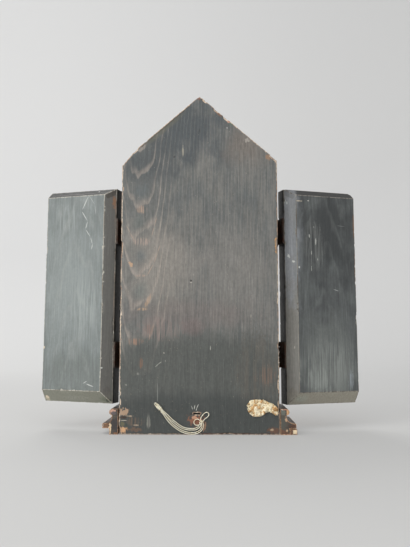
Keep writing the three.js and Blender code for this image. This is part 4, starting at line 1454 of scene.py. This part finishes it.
def screw_tree():
    tree = bpy.data.node_groups.new("slotted_screws", "GeometryNodeTree")
    face = tree.interface
    face.new_socket("Places", in_out="INPUT", socket_type="NodeSocketGeometry")
    for label in SCREW_INPUTS:
        face.new_socket(label, in_out="INPUT", socket_type="NodeSocketFloat")
    face.new_socket("Seed", in_out="INPUT", socket_type="NodeSocketInt")
    face.new_socket("Iron", in_out="INPUT", socket_type="NodeSocketMaterial")
    face.new_socket("Screws", in_out="OUTPUT", socket_type="NodeSocketGeometry")
    given = tree.nodes.new("NodeGroupInput").outputs
    top = {0: given["Head Radius"], 1: TOP_SHARE}
    top = add_node(tree, "ShaderNodeMath", top, operation="MULTIPLY")
    head = add_node(tree, "GeometryNodeMeshCone", {
        "Vertices": SCREW_SIDES, "Radius Top": top, "Radius Bottom": given["Head Radius"],
        "Depth": given["Head Height"],
    })
    length = {0: given["Head Radius"], 1: SLOT_REACH}
    length = add_node(tree, "ShaderNodeMath", length, operation="MULTIPLY")
    size = add_node(tree, "ShaderNodeCombineXYZ", {
        0: length, 1: given["Slot Width"], 2: given["Head Height"],
    })
    slot = add_node(tree, "GeometryNodeMeshCube", {"Size": size})
    lift = add_node(tree, "ShaderNodeCombineXYZ", {2: given["Head Height"]})
    slot = add_node(tree, "GeometryNodeTransform", {"Geometry": slot, "Translation": lift})
    cut = add_node(tree, "GeometryNodeMeshBoolean", {"Mesh 1": head, "Mesh 2": slot})
    facing = add_node(
        tree, "GeometryNodeInputNamedAttribute", {"Name": "facing"}, data_type="FLOAT_VECTOR"
    )
    upright = add_node(tree, "FunctionNodeAlignRotationToVector", {"Vector": facing}, axis="Z")
    spin = add_node(tree, "FunctionNodeRandomValue", {
        0: (0, 0, 0), 1: (0, 0, math.pi), "Seed": given["Seed"],
    }, data_type="FLOAT_VECTOR")
    turned = add_node(
        tree, "FunctionNodeRotateRotation", {"Rotation": upright, "Rotate By": spin},
        rotation_space="LOCAL",
    )
    copies = add_node(tree, "GeometryNodeInstanceOnPoints", {
        "Points": given["Places"], "Instance": cut, "Rotation": turned,
    })
    real = add_node(tree, "GeometryNodeRealizeInstances", {"Geometry": copies})
    painted = add_node(tree, "GeometryNodeSetMaterial", {
        "Geometry": real, "Material": given["Iron"],
    })
    end = tree.nodes.new("NodeGroupOutput")
    tree.links.new(painted, end.inputs["Screws"])
    return tree


slotted_screws = screw_tree()
print("screw tree:", len(slotted_screws.nodes), "nodes")

# %% Set the screws on the leaves
HINGE_HEIGHTS = (201.3, 75.5)
SCREW_SPOTS = ((5.2, 8.4), (10.6, -8.4))
LEAF_FACE = 0.7
SCREW_SINK = 0.25


def set_screws(body, places):
    """One mesh of screws for a body, from (place, facing) pairs in metres."""
    mesh = bpy.data.meshes.new("screws_" + body)
    mesh.from_pydata([tuple(place) for place, _ in places], [], [])
    layer = mesh.attributes.new("facing", "FLOAT_VECTOR", "POINT")
    layer.data.foreach_set("vector", [value for _, facing in places for value in facing])
    screws = add_object("screws_" + body, mesh)
    modifier = screws.modifiers.new("screws", "NODES")
    modifier.node_group = slotted_screws
    values = SCREW_INPUTS | {"Seed": SCREW_SEED, "Iron": hinge_iron}
    for item in slotted_screws.interface.items_tree:
        if item.name in values and item.in_out == "INPUT":
            modifier[item.identifier] = values[item.name]
    evaluated = screws.evaluated_get(bpy.context.evaluated_depsgraph_get())
    plain = bpy.data.meshes.new_from_object(evaluated)
    screws.modifiers.clear()
    screws.data = plain
    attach(screws, body)
    print(screws.name, len(plain.polygons), "faces")


case_screws = []
for wing in (RIGHT, LEFT):
    axis = hinge_axis(wing)
    own = wing_frame(wing)
    wing_screws = []
    for height in HINGE_HEIGHTS:
        for deep, up in SCREW_SPOTS:
            on_case = Vector((-wing.side * LEAF_FACE, deep, height + up)) * MM
            out = Vector((wing.side, 0, 0))
            case_screws.append((axis + on_case - out * SCREW_SINK * MM, out))
            on_wing = Vector((wing.side * (LEAF_FACE - EDGE_FROM_AXIS), deep, height + up)) * MM
            inwards = own.to_3x3() @ -out
            wing_screws.append((own @ on_wing - inwards * SCREW_SINK * MM, inwards))
    set_screws(wing.name + "_wing", wing_screws)
set_screws("case", case_screws)

# %% [markdown]
# ## Cotton
#
# The thread is undyed cotton gone yellowish and a little grey with dust. Its twist is in the
# mesh, and the finish adds the fibres.

# %% Mix the cotton and hand over the string
COTTON = screen_tone(255, 251, 232)
COTTON_DUSTY = screen_tone(228, 217, 184)
DUST_SIZE = (3, 3, 3)
FIBRE_SIZE, FIBRE_TURN = (0.12, 0.12, 0.7), (0, 0.8, 0)
FIBRE_BUMP = 0.08 * MM


def old_cotton(name):
    finish = Finish(name)
    place = own_place(finish, CASE_FRAME)
    cloud = finish.noise(place, DUST_SIZE, 4.0, 0.6)
    fibre = finish.noise(finish.place(place, turn=FIBRE_TURN), FIBRE_SIZE, 3.0)
    tone = finish.sum_of((cloud, 0.6), (fibre, 0.4))
    colour = finish.blend(finish.fade(tone, 0.36, 0.56), COTTON_DUSTY, COTTON)
    roughness = finish.fade(cloud, 0.3, 0.7, 0.8, 0.95)
    return finish.finish(colour, roughness, fibre, FIBRE_BUMP, Specular_IOR_Level=0.2)


cotton = old_cotton("cotton_string")
for strand, node, path in strands:
    strand.data.materials.append(cotton)
    hand_over(strand, node, "case")
for piece, node in ((knot, "string_knot"), (end_knot, "string_end_knot")):
    piece.data.materials.append(cotton)
    hand_over(piece, node, "case")
print("string pieces:", len(strands) + 2)

# %% [markdown]
# ## The lump of plaster
#
# A lump of plaster was pressed on the foot of the back and dried there with a pitted skin. The
# solid's copy is cut into a fine grid, let down onto the wood and pushed about by three sizes
# of noise. Where a pit is, the finish is brown.

# %% Press the plaster on the back
PLASTER_GRID = 0.42
PLASTER_BED = 0.3
PLASTER_LUMPS = ((4.2, 1.2), (2.0, 1.5), (0.95, 0.8))
PLASTER_SINK = 1.0
PLASTER_SIDE_REACH = 2.1
PLASTER_SIDE_FACING = 0.6
PLASTER_SEED = 23
CRUST_SIZE, CAKE_SIZE = (0.6, 0.6, 0.6), (5, 5, 5)
CRUST_BUMP = 0.15 * MM
PLASTER = screen_tone(250, 240, 212)
PLASTER_WARM = screen_tone(228, 212, 176)
PLASTER_PIT = screen_tone(198, 152, 98)


def old_plaster(name):
    finish = Finish(name)
    place = own_place(finish, CASE_FRAME)
    fine = finish.noise(place, CRUST_SIZE, 4.0, 0.65)
    cloud = finish.noise(place, CAKE_SIZE, 3.0)
    pit = finish.sum_of((finish.attribute("pit"), 1.0), (fine, 0.5))
    colour = finish.blend(finish.fade(cloud, 0.35, 0.65), PLASTER_WARM, PLASTER)
    colour = finish.blend(finish.fade(pit, 0.86, 1.16, high=0.9), colour, PLASTER_PIT)
    roughness = finish.fade(fine, 0.3, 0.7, 0.75, 0.95)
    return finish.finish(colour, roughness, fine, CRUST_BUMP, Specular_IOR_Level=0.25)


bm = merged_copy("plaster_patch", CASE_FRAME)
cut_grid(bm, [PLASTER_GRID] * 3, ())
patch_mesh = bpy.data.meshes.new("plaster_lump")
bm.to_mesh(patch_mesh)
bm.free()
places = vertex_array(patch_mesh, patch_mesh.vertices, "co")
normals = vertex_array(patch_mesh, patch_mesh.vertex_normals, "vector")
push = np.full(len(places), PLASTER_SINK)
for index, (size, depth) in enumerate(PLASTER_LUMPS):
    push += depth * smooth_noise(places, size * MM, PLASTER_SEED + index)
push = np.clip(push, 0, None)
sideways = np.where(np.abs(normals[:, 1]) < PLASTER_SIDE_FACING, PLASTER_SIDE_REACH, 1.0)
moved = places - normals * (sideways * push)[:, None] * MM
low, high = places[:, 1].min(), places[:, 1].max()
share = np.clip((moved[:, 1] - low) / (high - low), 0, 1)
moved[:, 1] = BACK - PLASTER_BED * MM + share * (high - BACK + PLASTER_BED * MM)
patch_mesh.vertices.foreach_set("co", moved.astype(np.float32).ravel())
pits = patch_mesh.attributes.new("pit", "FLOAT", "POINT")
pits.data.foreach_set("value", np.clip(push / 2, 0, 1).astype(np.float32))
patch_mesh.shade_smooth()
patch_mesh.materials.clear()
patch_mesh.materials.append(old_plaster("plaster"))
patch = add_object("plaster_lump", patch_mesh)
hand_over(patch, "plaster_patch", "case")
print("plaster:", len(patch_mesh.polygons), "faces")

# %% [markdown]
# ## Size
#
# The dressed model must stay as large as the solids.
